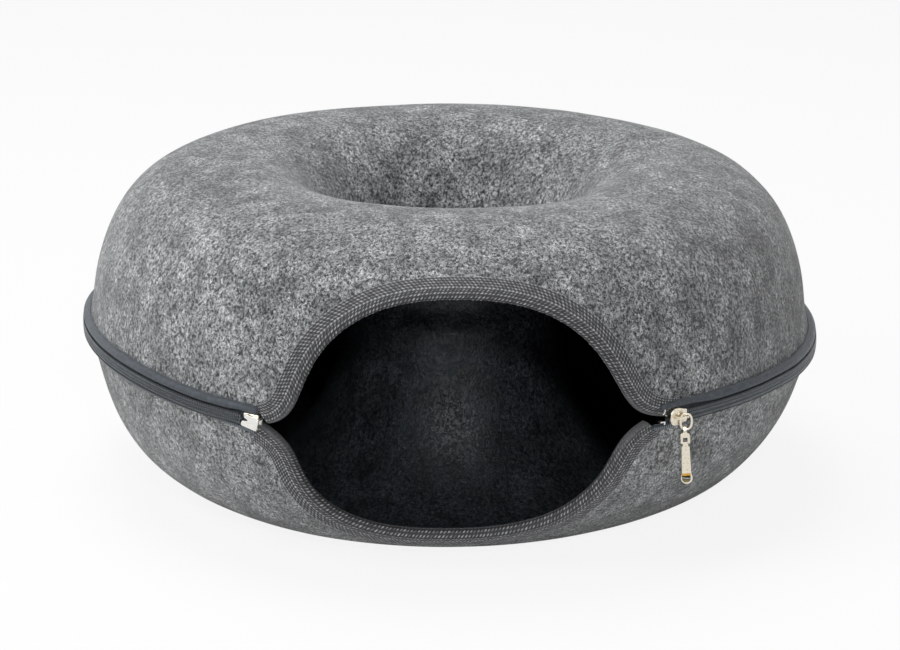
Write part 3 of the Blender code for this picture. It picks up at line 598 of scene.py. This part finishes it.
def doorCutter():
    # a solid that fills the doorway's opening through the front wall
    rows = []
    for part in ("upper", "lower"):
        points, out, _ = doorCurve(part, feltMesh["doorSpacing"])
        rows.append(points + out * feltMesh["doorTrim"])
    edge, run = np.concatenate(rows), feltMesh["cutRun"]
    count = len(edge)
    middles = [(0, -feltRadius - 2 * run, zipLevel), (0, -feltRadius + 2 * run, zipLevel)]
    faces = []
    for i in range(count):
        j = (i + 1) % count
        faces += [(i, j, count + j, count + i), (j, i, 2 * count), (count + i, count + j, 2 * count + 1)]
    cutter = meshObject("doorCutter", np.concatenate([onFelt(edge, run), onFelt(edge, -run), middles]), faces)
    fixNormals(cutter)
    return cutter


def runBooleans(piece, tools):
    # joins or cuts the tools, then keeps a plain mesh
    for operation, tool in tools:
        step = piece.modifiers.new(operation, "BOOLEAN")
        step.operation, step.solver, step.object = operation, "EXACT", tool
    bpy.context.view_layer.update()
    mesh = bpy.data.meshes.new_from_object(piece.evaluated_get(bpy.context.evaluated_depsgraph_get()))
    piece.modifiers.clear()
    piece.data = mesh


def keepSharp(mesh, degrees):
    # smooth, but for the edges that are sharper than degrees
    mesh.shade_smooth()
    mesh.set_sharp_from_angle(angle=radians(degrees))


def cutDoor(pieces):
    # takes the doorway out of both halves
    cutter = doorCutter()
    for piece in pieces:
        runBooleans(piece, [("DIFFERENCE", cutter)])
        keepSharp(piece.data, feltMesh["sharpAngle"])
    bpy.data.objects.remove(cutter)


felt, shadedInsideFelt = feltMaterial("needlePunchedFelt", feltLook), feltMaterial("feltInsidePaintedShade", insideShadeLook)
shells = [buildFelt(part, felt, shadedInsideFelt) for part in ("upper", "lower")]
cutDoor(shells)
for shell in shells:
    settle(shell)
print("felt halves made")


# Woven polyester webbing folded over the cut edge: rows of long slanted slubs lean both ways from a raised ridge
# and run on over the fold, which is pressed smooth only near the zip. The slubs are coloured pale on top as
# painted light and dark between as painted shade, and foldShade is painted shade on the fold. mm; ridge is
# measured from the doorway's edge, groove from the ridge, pressedReach up and down from the zip, and a line is
# (rise in slubs, width).
bindingForm = {
    "width": 14.2, "thick": 1.2, "lift": 0.35, "foldReach": 2.0, "foldStep": 9, "rowPitch": 1.9, "foldPitch": 3.0,
    "alongPitch": 2.4, "slant": 2.2, "slubRise": 0.45, "ridge": 6.2, "ridgeLine": (0.22, 0.7),
    "groove": 1.5, "grooveLine": (-0.30, 0.6), "selvedgeLine": (0.30, 0.5),
    "pressedReach": 22.0, "pressedTone": 0.42, "foldShade": 0.12, "spacing": 0.4, "backSpacing": 1.6,
}
# gap is painted shade in the dips, crest painted light on the slubs' tops, thread the yarn's own grey
webbingLook = {
    "gap": "#1d1e20", "thread": "#67686b", "crestPaintedLight": "#c6c8ca", "unevenScale": 0.9, "uneven": 0.16,
    "threadScale": 4.0, "bump": (0.5, 0.2), "roughness": 0.6, "sheen": 0.08,
}


def webbingMaterial():
    # the weave's relief is in the mesh; its height there, kept as an attribute, also colours the threads dark in the
    # dips as painted shade and pale on the tops as painted light
    look = webbingLook
    material, tree, shader = newMaterial("wovenPolyesterWebbing")
    uv = addNode(tree, "TexCoord").outputs["UV"]
    relief = addNode(tree, "Attribute", attribute_name="weaveLightAndShade").outputs["Fac"]
    uneven = stretch(tree, noiseOf(tree, uv, look["unevenScale"], 2.0), 0.3, 0.7, -look["uneven"], look["uneven"])
    shadedTone = reckon(tree, "ADD", relief, uneven)
    threads = noiseOf(tree, uv, look["threadScale"], 2.0)
    fillInputs(shader, {
        "Base Color": rampOf(tree, shadedTone, [(0.08, look["gap"]), (0.5, look["thread"]), (1.0, look["crestPaintedLight"])]),
        "Normal": bumpOf(tree, threads, *look["bump"]),
        "Roughness": look["roughness"], "Sheen Weight": look["sheen"],
    })
    return material


def bindingPath():
    # the webbing's cross section as (out from the edge, over the felt) in mm, how woven each point is
    # and how far behind the wall it lies
    form = bindingForm
    top = form["lift"] + form["thick"]
    bottom = -(ringForm["feltThick"] / mm + form["lift"] + form["thick"])
    middle, tall = (top + bottom) / 2, (top - bottom) / 2
    reach = form["foldReach"]
    outer = [(w, top) for w in np.arange(form["width"], reach, -form["spacing"])]
    fold = np.radians(np.arange(90, 271, form["foldStep"]))
    outer += [(reach * (1 + cos(a)), middle + tall * sin(a)) for a in fold]
    back = np.linspace(reach, form["width"], round((form["width"] - reach) / form["backSpacing"]))
    outer = np.array(outer + [(w, bottom) for w in back[1:]])
    along = np.gradient(outer, axis=0)
    normal = unit(np.stack([-along[:, 1], along[:, 0]], -1))
    if normal[0, 1] < 0:
        normal = -normal
    woven = fade(outer[:, 0], reach * 0.3, 2.5)
    behind = fade(middle - tall * 0.5 - outer[:, 1], 0, tall * 0.4)
    return outer, outer - normal * form["thick"], normal, runAlong(outer), woven, behind


def slubsOn(along, run):
    # the slubs' heights from 0 to 1 at mm along and mm across the webbing
    form = bindingForm
    drift = 0.6 * np.sin(along / 23.0) + 0.4 * np.sin(along / 7.3 + 1)
    frontRun, ridgeRun = form["width"] - form["foldReach"], form["width"] - form["ridge"]
    count = np.minimum(run, frontRun) / form["rowPitch"] + np.maximum(run - frontRun, 0) / form["foldPitch"]
    row = np.round(count)
    inRow = count - row
    lean = form["slant"] * inRow * np.where(run < ridgeRun, 1, -1)
    phase = 2 * pi * (along + drift + lean) / form["alongPitch"] + pi * row
    uneven = 1 + 0.18 * np.sin(along * 1.31 + 2.1 * row) + 0.16 * np.sin(along * 0.47 + 5.3 * row)
    slub = np.cos(pi * inRow) ** 1.2 * (0.5 + 0.5 * np.cos(phase)) ** 0.8 * uneven
    for line, middle in (("ridgeLine", ridgeRun), ("grooveLine", ridgeRun + form["groove"]), ("selvedgeLine", 0)):
        rise, width = form[line]
        slub = slub + rise * bell(run - middle, width)
    return slub


def buildBinding(part, material):
    form = bindingForm
    points, out, at = doorCurve(part, form["spacing"] * mm)
    outer, inner, normal, run, woven, behind = bindingPath()
    rows, columns = len(points), len(outer)
    along = at[:, None] / mm
    pressed = bell((points[:, 2] - zipLevel) / mm, form["pressedReach"])[:, None]
    flat = np.maximum(pressed * (1 - woven), behind)
    # painted light on the slubs' tops and painted shade in the dips and on the fold, kept as tones for the material
    slub = form["pressedTone"] * flat + slubsOn(along, run) * (1 - flat)
    paintedTones = np.clip(slub - form["foldShade"] * (1 - woven) * (1 - flat), 0, 1)
    raised = outer + normal * (slub * form["slubRise"])[..., None]
    skins = []
    for skin in (raised, np.tile(inner, (rows, 1, 1))):
        base = points[:, None] + out[:, None] * (skin[..., :1] * mm)
        skins.append(onFelt(base.reshape(-1, 3), (skin[..., 1] * mm).ravel()).reshape(rows, columns, 3))
    verts = np.concatenate([skins[0], skins[1][:, ::-1]], axis=1).reshape(-1, 3)
    width = 2 * columns
    faces = gridFaces(rows, width, False, True) + endFaces(rows, width)
    uv = np.stack(np.broadcast_arrays(along, np.concatenate([run, run[::-1]])), -1).reshape(-1, 2)
    stands = [part + "_door_binding"]
    piece = makePiece(part + "Binding", verts, faces, material, part + "_half", stands, uv)
    addValues(piece, "weaveLightAndShade", np.concatenate([paintedTones, np.full((rows, columns), 0.4)], axis=1).ravel())
    fixNormals(piece)
    settle(piece)


webbing = webbingMaterial()
for part in ("upper", "lower"):
    buildBinding(part, webbing)
print("bindings made")


# A coil zip: two twill tapes, each with a nylon coil sewn along one edge and its other edge rolled
# over the felt's edge. Heights are from the zip's middle, rises from the tape's back, mm; tape and teeth
# run between turns in degrees. The roll makes room for the box and the slider at roomAt.
zipForm = {
    "outer": {"prefix": "", "radius": 245.1, "way": 1, "share": 1.0, "level": zipLevel / mm,
              "tape": {1: (-59.2, 239.8), -1: (-60.3, 239.4)}, "teeth": (-57.5, 237.2)},
    "inner": {"prefix": "inner_", "radius": 72.55, "way": -1, "share": 0.72, "level": innerZipLevel / mm,
              "tape": {1: (83.3, 440.9), -1: (83.3, 440.9)}, "teeth": (88.2, 429.0)},
    "thick": 0.7, "split": 0.05, "fork": 4.3, "forkRun": 1.2, "step": 2.5,
    "beadStart": 4.1, "beadEnd": 9.4, "beadRise": 4.1, "lowerRise": 2.9, "innerLowerEnd": 8.2, "leastBead": 3.4,
    "roomAt": [-35.5, -33.5, 37, 41], "boxRoom": 5.4, "sliderRoom": 6.0,
    "pitch": 1.5, "wire": 0.29, "headHeight": -0.1, "backHeight": 3.4, "coilBase": 1.5, "coilDepth": 2.6,
    "sewnAt": (1.25, 3.5), "sewnHigh": 3.85, "sewnWide": 0.40,
}
# Twill tape woven from polyester, dyed dark slate: matt, fine cross threads, a little paler where it rolls.
tapeLook = {
    "dark": "#282d33", "mid": "#3d444c", "pale": "#565e68", "stitch": "#848c95", "stitchBand": (2.3, 4.4),
    "threadMm": 0.55, "roughness": 0.62, "sheen": 0.25, "sheenRoughness": 0.4, "bump": (0.35, 0.12),
}
# Coil of bent nylon monofilament, dyed with the tape: half gloss. cord is the near-black of the cord inside the coil
# and of the sewing threads, painted shade between and beside the turns.
coilLook = {"colour": "#5f6770", "pale": "#a6aeb6", "cord": "#06080a", "roughness": 0.30}


def tapeMaterial():
    look = tapeLook
    material, tree, shader = newMaterial("wovenZipTape")
    uv = addNode(tree, "TexCoord").outputs["UV"]
    x, y, _ = addNode(tree, "SeparateXYZ", {0: uv}).outputs
    along = reckon(tree, "MULTIPLY", x, 2 * pi / look["threadMm"])
    across = reckon(tree, "MULTIPLY", y, 2 * pi / (look["threadMm"] * 1.6))
    twill = reckon(tree, "SINE", reckon(tree, "ADD", along, across))
    value = reckon(tree, "MULTIPLY_ADD", twill, 0.16, noiseOf(tree, uv, 0.35, 3.0))
    cloth = rampOf(tree, value, [(0.25, look["dark"]), (0.5, look["mid"]), (0.8, look["pale"])])
    # the stitches that hold the coil, one to a turn, beside it
    stitches = reckon(tree, "COSINE", reckon(tree, "MULTIPLY", x, 2 * pi / zipForm["pitch"]))
    low, high = look["stitchBand"]
    band = reckon(tree, "COMPARE", y, (low + high) / 2, (high - low) / 2)
    band = reckon(tree, "MULTIPLY", band, stretch(tree, stitches, -0.5, 0.8))
    fillInputs(shader, {
        "Base Color": blend(tree, band, cloth, look["stitch"]),
        "Normal": bumpOf(tree, twill, *look["bump"]),
        "Roughness": look["roughness"], "Sheen Weight": look["sheen"], "Sheen Roughness": look["sheenRoughness"],
    })
    return material


def coilMaterial():
    material, tree, shader = newMaterial("dyedNylonCoil")
    patch = noiseOf(tree, addNode(tree, "TexCoord").outputs["Object"], 400.0, 2.0)
    inside = addNode(tree, "Attribute", attribute_name="cord").outputs["Fac"]
    # the cord and the threads take the near-black, painted shade; the pale patches vary at random
    coilTintAndShade = blend(tree, inside, blend(tree, patch, coilLook["colour"], coilLook["pale"]), coilLook["cord"])
    fillInputs(shader, {"Base Color": coilTintAndShade, "Roughness": coilLook["roughness"]})
    return material


def addZipPiece(kind, side, what, node, verts, faces, material, uv=None):
    half = "upper" if side > 0 else "lower"
    name = "inner" + half.capitalize() if kind == "inner" else half
    stands = [zipForm[kind]["prefix"] + half + node]
    piece = makePiece(name + what, verts, faces, material, half + "_half", stands, uv)
    fixNormals(piece)
    return settle(piece)


def ontoZip(kind, side, section, turn):
    # a cross section's (height from the zip's middle, rise) in mm at turns in radians
    form = zipForm[kind]
    height = (form["level"] + side * section[..., 0]) * mm
    return turned((form["radius"] + form["way"] * section[..., 1]) * mm, turn, height)


def tapeShape(kind, side, turn):
    # where the tape begins, where its roll begins and ends, and how high it rises, at a turn in degrees
    first, roll, last, rise = (zipForm[key] for key in ("split", "beadStart", "beadEnd", "beadRise"))
    if kind == "outer":
        angle = (turn + 90 + 180) % 360 - 180
        roll = np.interp(angle, zipForm["roomAt"], [roll, zipForm["boxRoom"], zipForm["sliderRoom"], roll])
        first += fade(zipForm["outer"]["teeth"][0] - turn, 0, zipForm["forkRun"]) * (zipForm["fork"] - first)
        if side < 0:
            last = settled("lowerEdge", angle)
            roll = min(roll, max(last - zipForm["leastBead"], 2.0))
            first = min(first, roll - 0.4)
            rise = np.interp(last, [3.2, 7.5], [1.0, zipForm["lowerRise"]])
    elif side < 0:
        last, rise = zipForm["innerLowerEnd"], zipForm["lowerRise"]
    return first, roll, last, rise


def buildTape(kind, side, material):
    # one tape as a strip of sections: flat beside the coil, then a roll over the felt's edge
    form, share, thick = zipForm[kind], zipForm[kind]["share"], zipForm["thick"]
    start, end = form["tape"][side]
    turns = np.linspace(start, end, round(radians(end - start) * form["radius"] / (zipForm["step"] * share)))
    rows = []
    for turn in turns:
        first, roll, last, rise = tapeShape(kind, side, turn)
        middle, half = (roll + last) / 2, (last - roll) / 2
        top = [(h, thick) for h in np.linspace(first, roll, 4)]
        for a in np.linspace(pi, 0, 15)[1:]:
            foot = thick * a / pi
            top.append((middle + half * cos(a), foot + (rise - foot) * sin(a) ** 0.8))
        top = np.array(top) * share
        hollow = np.minimum(0, -0.3 * (top[:, 0] - roll * share) / max(half * share, 0.1))
        section = np.concatenate([top, np.stack([top[:, 0], hollow], -1)[::-1]])
        rows.append(ontoZip(kind, side, section, radians(turn)))
    rows = np.array(rows)
    count, width = rows.shape[:2]
    faces = gridFaces(count, width, False, True) + endFaces(count, width)
    along, run = np.radians(turns) * form["radius"], runAlong(rows[0]) / mm
    uv = np.stack(np.broadcast_arrays(along[:, None], run), -1).reshape(-1, 2)
    return addZipPiece(kind, side, "ZipTape", "_zip_tape", rows.reshape(-1, 3), faces, material, uv)


def coilTurn():
    # one turn of the coil as (along, height, rise) in mm: a flattened loop of wire, thicker at its head
    form = zipForm
    head, back = form["headHeight"], form["backHeight"]
    middle, half = (head + back) / 2, (back - head) / 2 - form["wire"]
    depth = form["coilDepth"] / 2 - form["wire"]
    loop = np.linspace(0, 2 * pi, 13)[:-1]
    c, s = np.cos(loop), np.sin(loop)
    height = middle - half * np.sign(c) * np.abs(c) ** 0.75
    rise = form["coilBase"] + form["coilDepth"] / 2 + depth * np.sign(s) * np.abs(s) ** 0.75
    path = np.stack([0.22 * s + 0.10 * c, height, rise], -1)
    along = unit(np.roll(path, -1, 0) - np.roll(path, 1, 0))
    sideways = unit(np.cross(along, [1.0, 0, 0]))
    over = np.cross(along, sideways)
    sides = np.linspace(0, 2 * pi, 6)[:-1]
    wire = form["wire"] * np.where(c > 0.6, 1.25, 1.0)[:, None, None]
    around = sideways[:, None] * np.cos(sides)[:, None] + over[:, None] * np.sin(sides)[:, None]
    faces = gridFaces(len(loop), len(sides), True, True)
    return (path[:, None] + wire * around).reshape(-1, 3), faces, middle, half, depth


def buildCoil(kind, side, material):
    # the coil's turns, the cord they are wound round, and the two threads that sew them down; the cord and threads
    # are coloured near-black as painted shade
    form, share = zipForm[kind], zipForm[kind]["share"]
    start, end = form["teeth"]
    tube, turnFaces, middle, half, depth = coilTurn()
    tube = tube * share
    pitch = zipForm["pitch"] * share
    count = int(radians(end - start) * form["radius"] / pitch)
    turns = np.radians(start) + (np.arange(count) + (0.5 if side > 0 else 0.0) + 0.25) * pitch / form["radius"]
    wound = ontoZip(kind, side, tube[:, 1:], turns[:, None] + tube[:, 0] / form["radius"]).reshape(-1, 3)
    faces = [tuple(k + i * len(tube) for k in face) for i in range(count) for face in turnFaces]
    cords = [(middle, zipForm["coilBase"] + zipForm["coilDepth"] / 2, 0.85 * half, 0.62 * depth)]
    cords += [(spot, zipForm["sewnHigh"], zipForm["sewnWide"], zipForm["sewnWide"]) for spot in zipForm["sewnAt"]]
    beyond = 0.2 * pitch / form["radius"]
    cordTurns = np.linspace(turns[0] - beyond, turns[-1] + beyond, count)[:, None]
    corner = np.radians(np.arange(0, 360, 60))
    sides = len(corner)
    verts = [wound]
    for spot, high, wide, tall in cords:
        base = sum(len(part) for part in verts)
        cord = np.stack([spot + wide * np.cos(corner), high + tall * np.sin(corner)], -1) * share
        verts.append(ontoZip(kind, side, cord, cordTurns).reshape(-1, 3))
        faces += [tuple(k + base for k in face) for face in gridFaces(count, sides, False, True)]
        faces += [tuple(base + row * sides + k for k in range(sides)) for row in (0, count - 1)]
    verts = np.concatenate(verts)
    piece = addZipPiece(kind, side, "ZipCoil", "_zip_teeth", verts, faces, material)
    addValues(piece, "cord", (np.arange(len(verts)) >= len(wound)).astype(float))
    return piece


tapeCloth, coilNylon = tapeMaterial(), coilMaterial()
for kind in ("outer", "inner"):
    for side in (1, -1):
        buildTape(kind, side, tapeCloth)
        buildCoil(kind, side, coilNylon)
print("zips made")


# Zinc castings and clips plated bright nickel, a little wavy from polishing: the slider and its pull
# are warm, the bent box is nearly white, and the dish at the pull's end has a painted reflection of gold and dark
# bands.
nickelLook = {
    "warmNickelPlate": {"colour": "#e2dac9", "dark": "#b5a98f", "roughness": 0.16},
    "whiteNickelPlate": {"colour": "#eceae6", "dark": "#cfccc4", "roughness": 0.20},
    "wornRoughness": 0.16, "bump": (0.25, 0.25), "dishRoughness": 0.25, "sharpAngle": 35,
    # the dish's bands down its face, with a white glint, are a painted reflection
    "dish": [(0.0, "#c99a45"), (0.27, "#d2a34b"), (0.33, "#24231f"), (0.50, "#34332e"), (0.55, "#d8d6cf"),
             (0.60, "#57564c"), (1.0, "#8d8562")],
}


def nickelMaterial(name):
    look = nickelLook[name]
    material, tree, shader = newMaterial(name)
    place = addNode(tree, "TexCoord").outputs["Object"]
    wave, wear = noiseOf(tree, place, 260.0, 2.0), noiseOf(tree, place, 900.0, 3.0)
    fillInputs(shader, {
        "Base Color": blend(tree, stretch(tree, wear, 0.55, 0.8), look["colour"], look["dark"]),
        "Roughness": reckon(tree, "MULTIPLY_ADD", wear, nickelLook["wornRoughness"], look["roughness"]),
        "Normal": bumpOf(tree, wave, *nickelLook["bump"]), "Metallic": 1.0,
    })
    return material


def dishMaterial():
    # painted reflection: bands of gold, dark, a white glint and olive grey run down the dish in place of what its
    # curve would mirror
    material, tree, shader = newMaterial("nickelDishPaintedReflection")
    down = addNode(tree, "Attribute", attribute_name="down").outputs["Fac"]
    wave = noiseOf(tree, addNode(tree, "TexCoord").outputs["Object"], 500.0, 1.0)
    reflectionBands = reckon(tree, "ADD", down, stretch(tree, wave, 0.0, 1.0, -0.10, 0.10))
    fillInputs(shader, {
        "Base Color": rampOf(tree, reflectionBands, nickelLook["dish"]), "Roughness": nickelLook["dishRoughness"],
        "Metallic": 1.0,
    })
    return material


def zipSeat(turn, level):
    # the frame of a place on a zip: X out, Y along the zip, Z up, from the ring's axis
    c, s = cos(radians(turn)), sin(radians(turn))
    spot = Vector((c, s, 0)) * zipForm["outer"]["radius"] * mm
    return Matrix(((c, -s, 0, spot.x), (s, c, 0, spot.y), (0, 0, 1, level), (0, 0, 0, 1)))


def plate(name, outline, near, far, bevel=0.0, index=0):
    # a plate in mm with its outline across (Y, Z), from near to far along X, its edges rounded
    work = bmesh.new()
    rows = [[work.verts.new((x, y, z)) for y, z in outline] for x in (near, far)]
    count = len(outline)
    work.faces.new(rows[0])
    work.faces.new(rows[1])
    for k in range(count):
        work.faces.new((rows[0][k], rows[0][(k + 1) % count], rows[1][(k + 1) % count], rows[1][k]))
    bmesh.ops.recalc_face_normals(work, faces=work.faces)
    if bevel:
        bmesh.ops.bevel(work, geom=work.edges[:], offset=bevel, segments=3, affect="EDGES", clamp_overlap=True)
    for face in work.faces:
        face.material_index = index
    mesh = bpy.data.meshes.new(name)
    work.to_mesh(mesh)
    work.free()
    return addObject(name, mesh)


def finishMetal(solid, tools, place, materials, body, node):
    # joins or cuts the tools, then sets the solid in its place for good
    for material in materials:
        solid.data.materials.append(material)
    runBooleans(solid, tools)
    for _, tool in tools:
        bpy.data.objects.remove(tool)
    solid.data.transform(Matrix.Translation(ringAxis) @ place @ Matrix.Scale(mm, 4))
    keepSharp(solid.data, nickelLook["sharpAngle"])
    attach(solid, body)
    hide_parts(node)
    return solid


# The box's outline: a body with a short upper and a long lower prong and the pin's notch between, mm.
boxForm = {
    "turn": 239.1, "drop": 2.0, "lean": 12.0, "near": -1.6, "far": 5.1, "bevel": 0.35,
    "outline": [(4.6, -4.2), (4.9, 3.4), (4.0, 4.3), (-4.4, 4.3), (-6.0, 1.7), (-3.0, 1.0), (-2.9, -0.1),
                (-6.7, -0.9), (-7.3, -3.4), (-6.6, -4.2)],
    "throat": [(3.6, -2.9), (6.5, -2.9), (6.5, 2.9), (3.6, 2.9)], "throatDepth": 3.8,
}


def buildBox():
    form = boxForm
    place = zipSeat(form["turn"], zipLevel - form["drop"] * mm) @ Matrix.Rotation(-radians(form["lean"]), 4, "X")
    body = plate("retainerBox", form["outline"], form["near"], form["far"], form["bevel"])
    throat = plate("boxThroat", form["throat"], 0.0, form["throatDepth"])
    finishMetal(body, [("DIFFERENCE", throat)], place, [whiteNickel], "lower_half", "retainer_box")


# The pull: a lug round the ring, a square eye, side notches, a widening bar and a dished end, mm down
# from the ring's wire. It leans a little to the right and sits a little left.
pullForm = {
    "bore": 1.2, "lugRadius": 2.0, "lugWidth": 2.2, "lugHalf": 1.3, "headTop": 2.6, "shoulder": 3.7, "headHalf": 2.95,
    "headEnd": 9.5, "neckHalf": 1.55, "barTop": 11.4, "barHalf": 2.55, "barEnd": 29.0, "barEndHalf": 2.9,
    "endRadius": 3.7, "length": 36.3, "thick": 1.6, "bevel": 0.25, "lugBevel": 0.3,
    "eyeHalf": 1.45, "eyeTall": 0.9, "eyeMid": 6.9,
    "dishRadius": 2.75, "dishTop": 29.2, "dishDeep": 0.8, "dishLeft": 0.3, "dishUp": 0.1, "dishEnd": 1.0,
    "lean": 4.0, "left": 0.7,
}


def arc(radius, degrees, across=0.0, up=0.0):
    return [(across + radius * cos(a), up + radius * sin(a)) for a in np.radians(degrees)]


def pullOutline(middle):
    # the tab's outline down its right side and up its left
    form = pullForm
    lug, head, neck, bar, barEnd = (form[key + "Half"] for key in ("lug", "head", "neck", "bar", "barEnd"))
    right = [
        (lug, form["lugRadius"] * 0.8), (lug, form["headTop"]), (head * 0.7, form["headTop"]),
        (head * 0.95, form["shoulder"] - 0.5), (head, form["shoulder"] + 0.4), (head, form["headEnd"]),
        (neck, form["headEnd"]), (neck, form["barTop"]), (bar, form["barTop"]), (barEnd, form["barEnd"]),
    ]
    right = [(y, -z) for y, z in right] + arc(form["endRadius"], np.arange(12, -91, -12), 0.0, middle)
    return right + [(-y, z) for y, z in right[::-1] if y > 0.01]


def buildPull():
    form, swing = pullForm, joints["pull_swing"]
    side = -Vector(swing["axis"]).normalized()
    out = Vector((side.y, -side.x, 0))
    spot = Vector(swing["pos_m"]) - ringAxis - side * form["left"] * mm
    place = Matrix(((out.x, side.x, 0, spot.x), (out.y, side.y, 0, spot.y), (0, 0, 1, spot.z), (0, 0, 0, 1)))
    place = place @ Matrix.Rotation(radians(form["lean"]), 4, "X")
    middle, half = form["endRadius"] - form["length"], form["thick"] / 2
    body = plate("pullTab", pullOutline(middle), -half, half, form["bevel"])
    eye, tall, mid = form["eyeHalf"], form["eyeHalf"] * form["eyeTall"], -form["eyeMid"]
    corners = [(y * eye, mid + z * tall) for y, z in ((-1, -1), (1, -1), (1, 1), (-1, 1))]
    window = plate("pullEye", corners, -2 * half, 2 * half)
    wide, left, top = form["dishRadius"], form["dishLeft"], -form["dishTop"]
    hollow = arc(wide, np.arange(0, -181, -15), -left, middle + form["dishUp"])
    hollow += [(-wide - left, top), (wide - left, top)]
    dish = plate("pullDish", hollow, half - form["dishDeep"], 2 * half, 0, 1)
    for material in (warmNickel, dishPaintedReflection):
        dish.data.materials.append(material)
    whole = np.arange(0, 360, 15)
    wide = form["lugWidth"]
    lug = plate("pullLug", arc(form["lugRadius"], whole), -wide / 2, wide / 2, form["lugBevel"])
    bore = plate("pullBore", arc(form["bore"], whole), -wide, wide)
    for tool in (lug, bore):
        tool.data.transform(Matrix.Rotation(pi / 2, 4, "Z"))
    tools = [("UNION", lug), ("DIFFERENCE", bore), ("DIFFERENCE", window), ("DIFFERENCE", dish)]
    tab = finishMetal(body, tools, place, [warmNickel, dishPaintedReflection], "pull", "pull_tab")
    fall = (Vector(swing["pos_m"]).z - getPoints(tab)[:, 2]) / mm
    addValues(tab, "down", fade(fall, form["dishTop"], form["length"] - form["dishEnd"] - form["dishTop"]))


# The stops are flat wire bent over the tapes' edges, each hooked its own way, mm about its middle.
stopForm = {
    "turn": -58.7, "rise": 4.4, "near": -1.5, "far": 1.9, "bevel": 0.18,
    "upper": [(-1.2, 2.5), (0.6, 2.4), (1.7, 1.3), (1.8, -0.5), (0.9, -2.3), (-0.4, -2.7), (-0.3, -1.9),
              (0.4, -1.6), (1.0, -0.4), (0.9, 0.9), (0.2, 1.7), (-1.2, 1.8)],
    "lower": [(-2.0, 2.0), (1.6, 1.8), (1.9, 1.2), (1.5, -2.0), (0.7, -2.1), (0.9, 1.0), (-1.9, 1.2)],
}


def buildStops():
    for part, way in (("upper", 1), ("lower", -1)):
        place = zipSeat(stopForm["turn"], zipLevel + way * stopForm["rise"] * mm)
        clip = plate(part + "Stop", stopForm[part], stopForm["near"], stopForm["far"], stopForm["bevel"])
        finishMetal(clip, [], place, [whiteNickel], part + "_half", part + "_top_stop")


warmNickel, whiteNickel = nickelMaterial("warmNickelPlate"), nickelMaterial("whiteNickelPlate")
dishPaintedReflection = dishMaterial()
for name in frame["nodes"]:
    if any(word in name for word in ("slider", "pull", "stop", "box", "pin")):
        for slot in bpy.data.objects[name].material_slots:
            slot.material = warmNickel
buildBox()
buildPull()
buildStops()
print("metal plated")
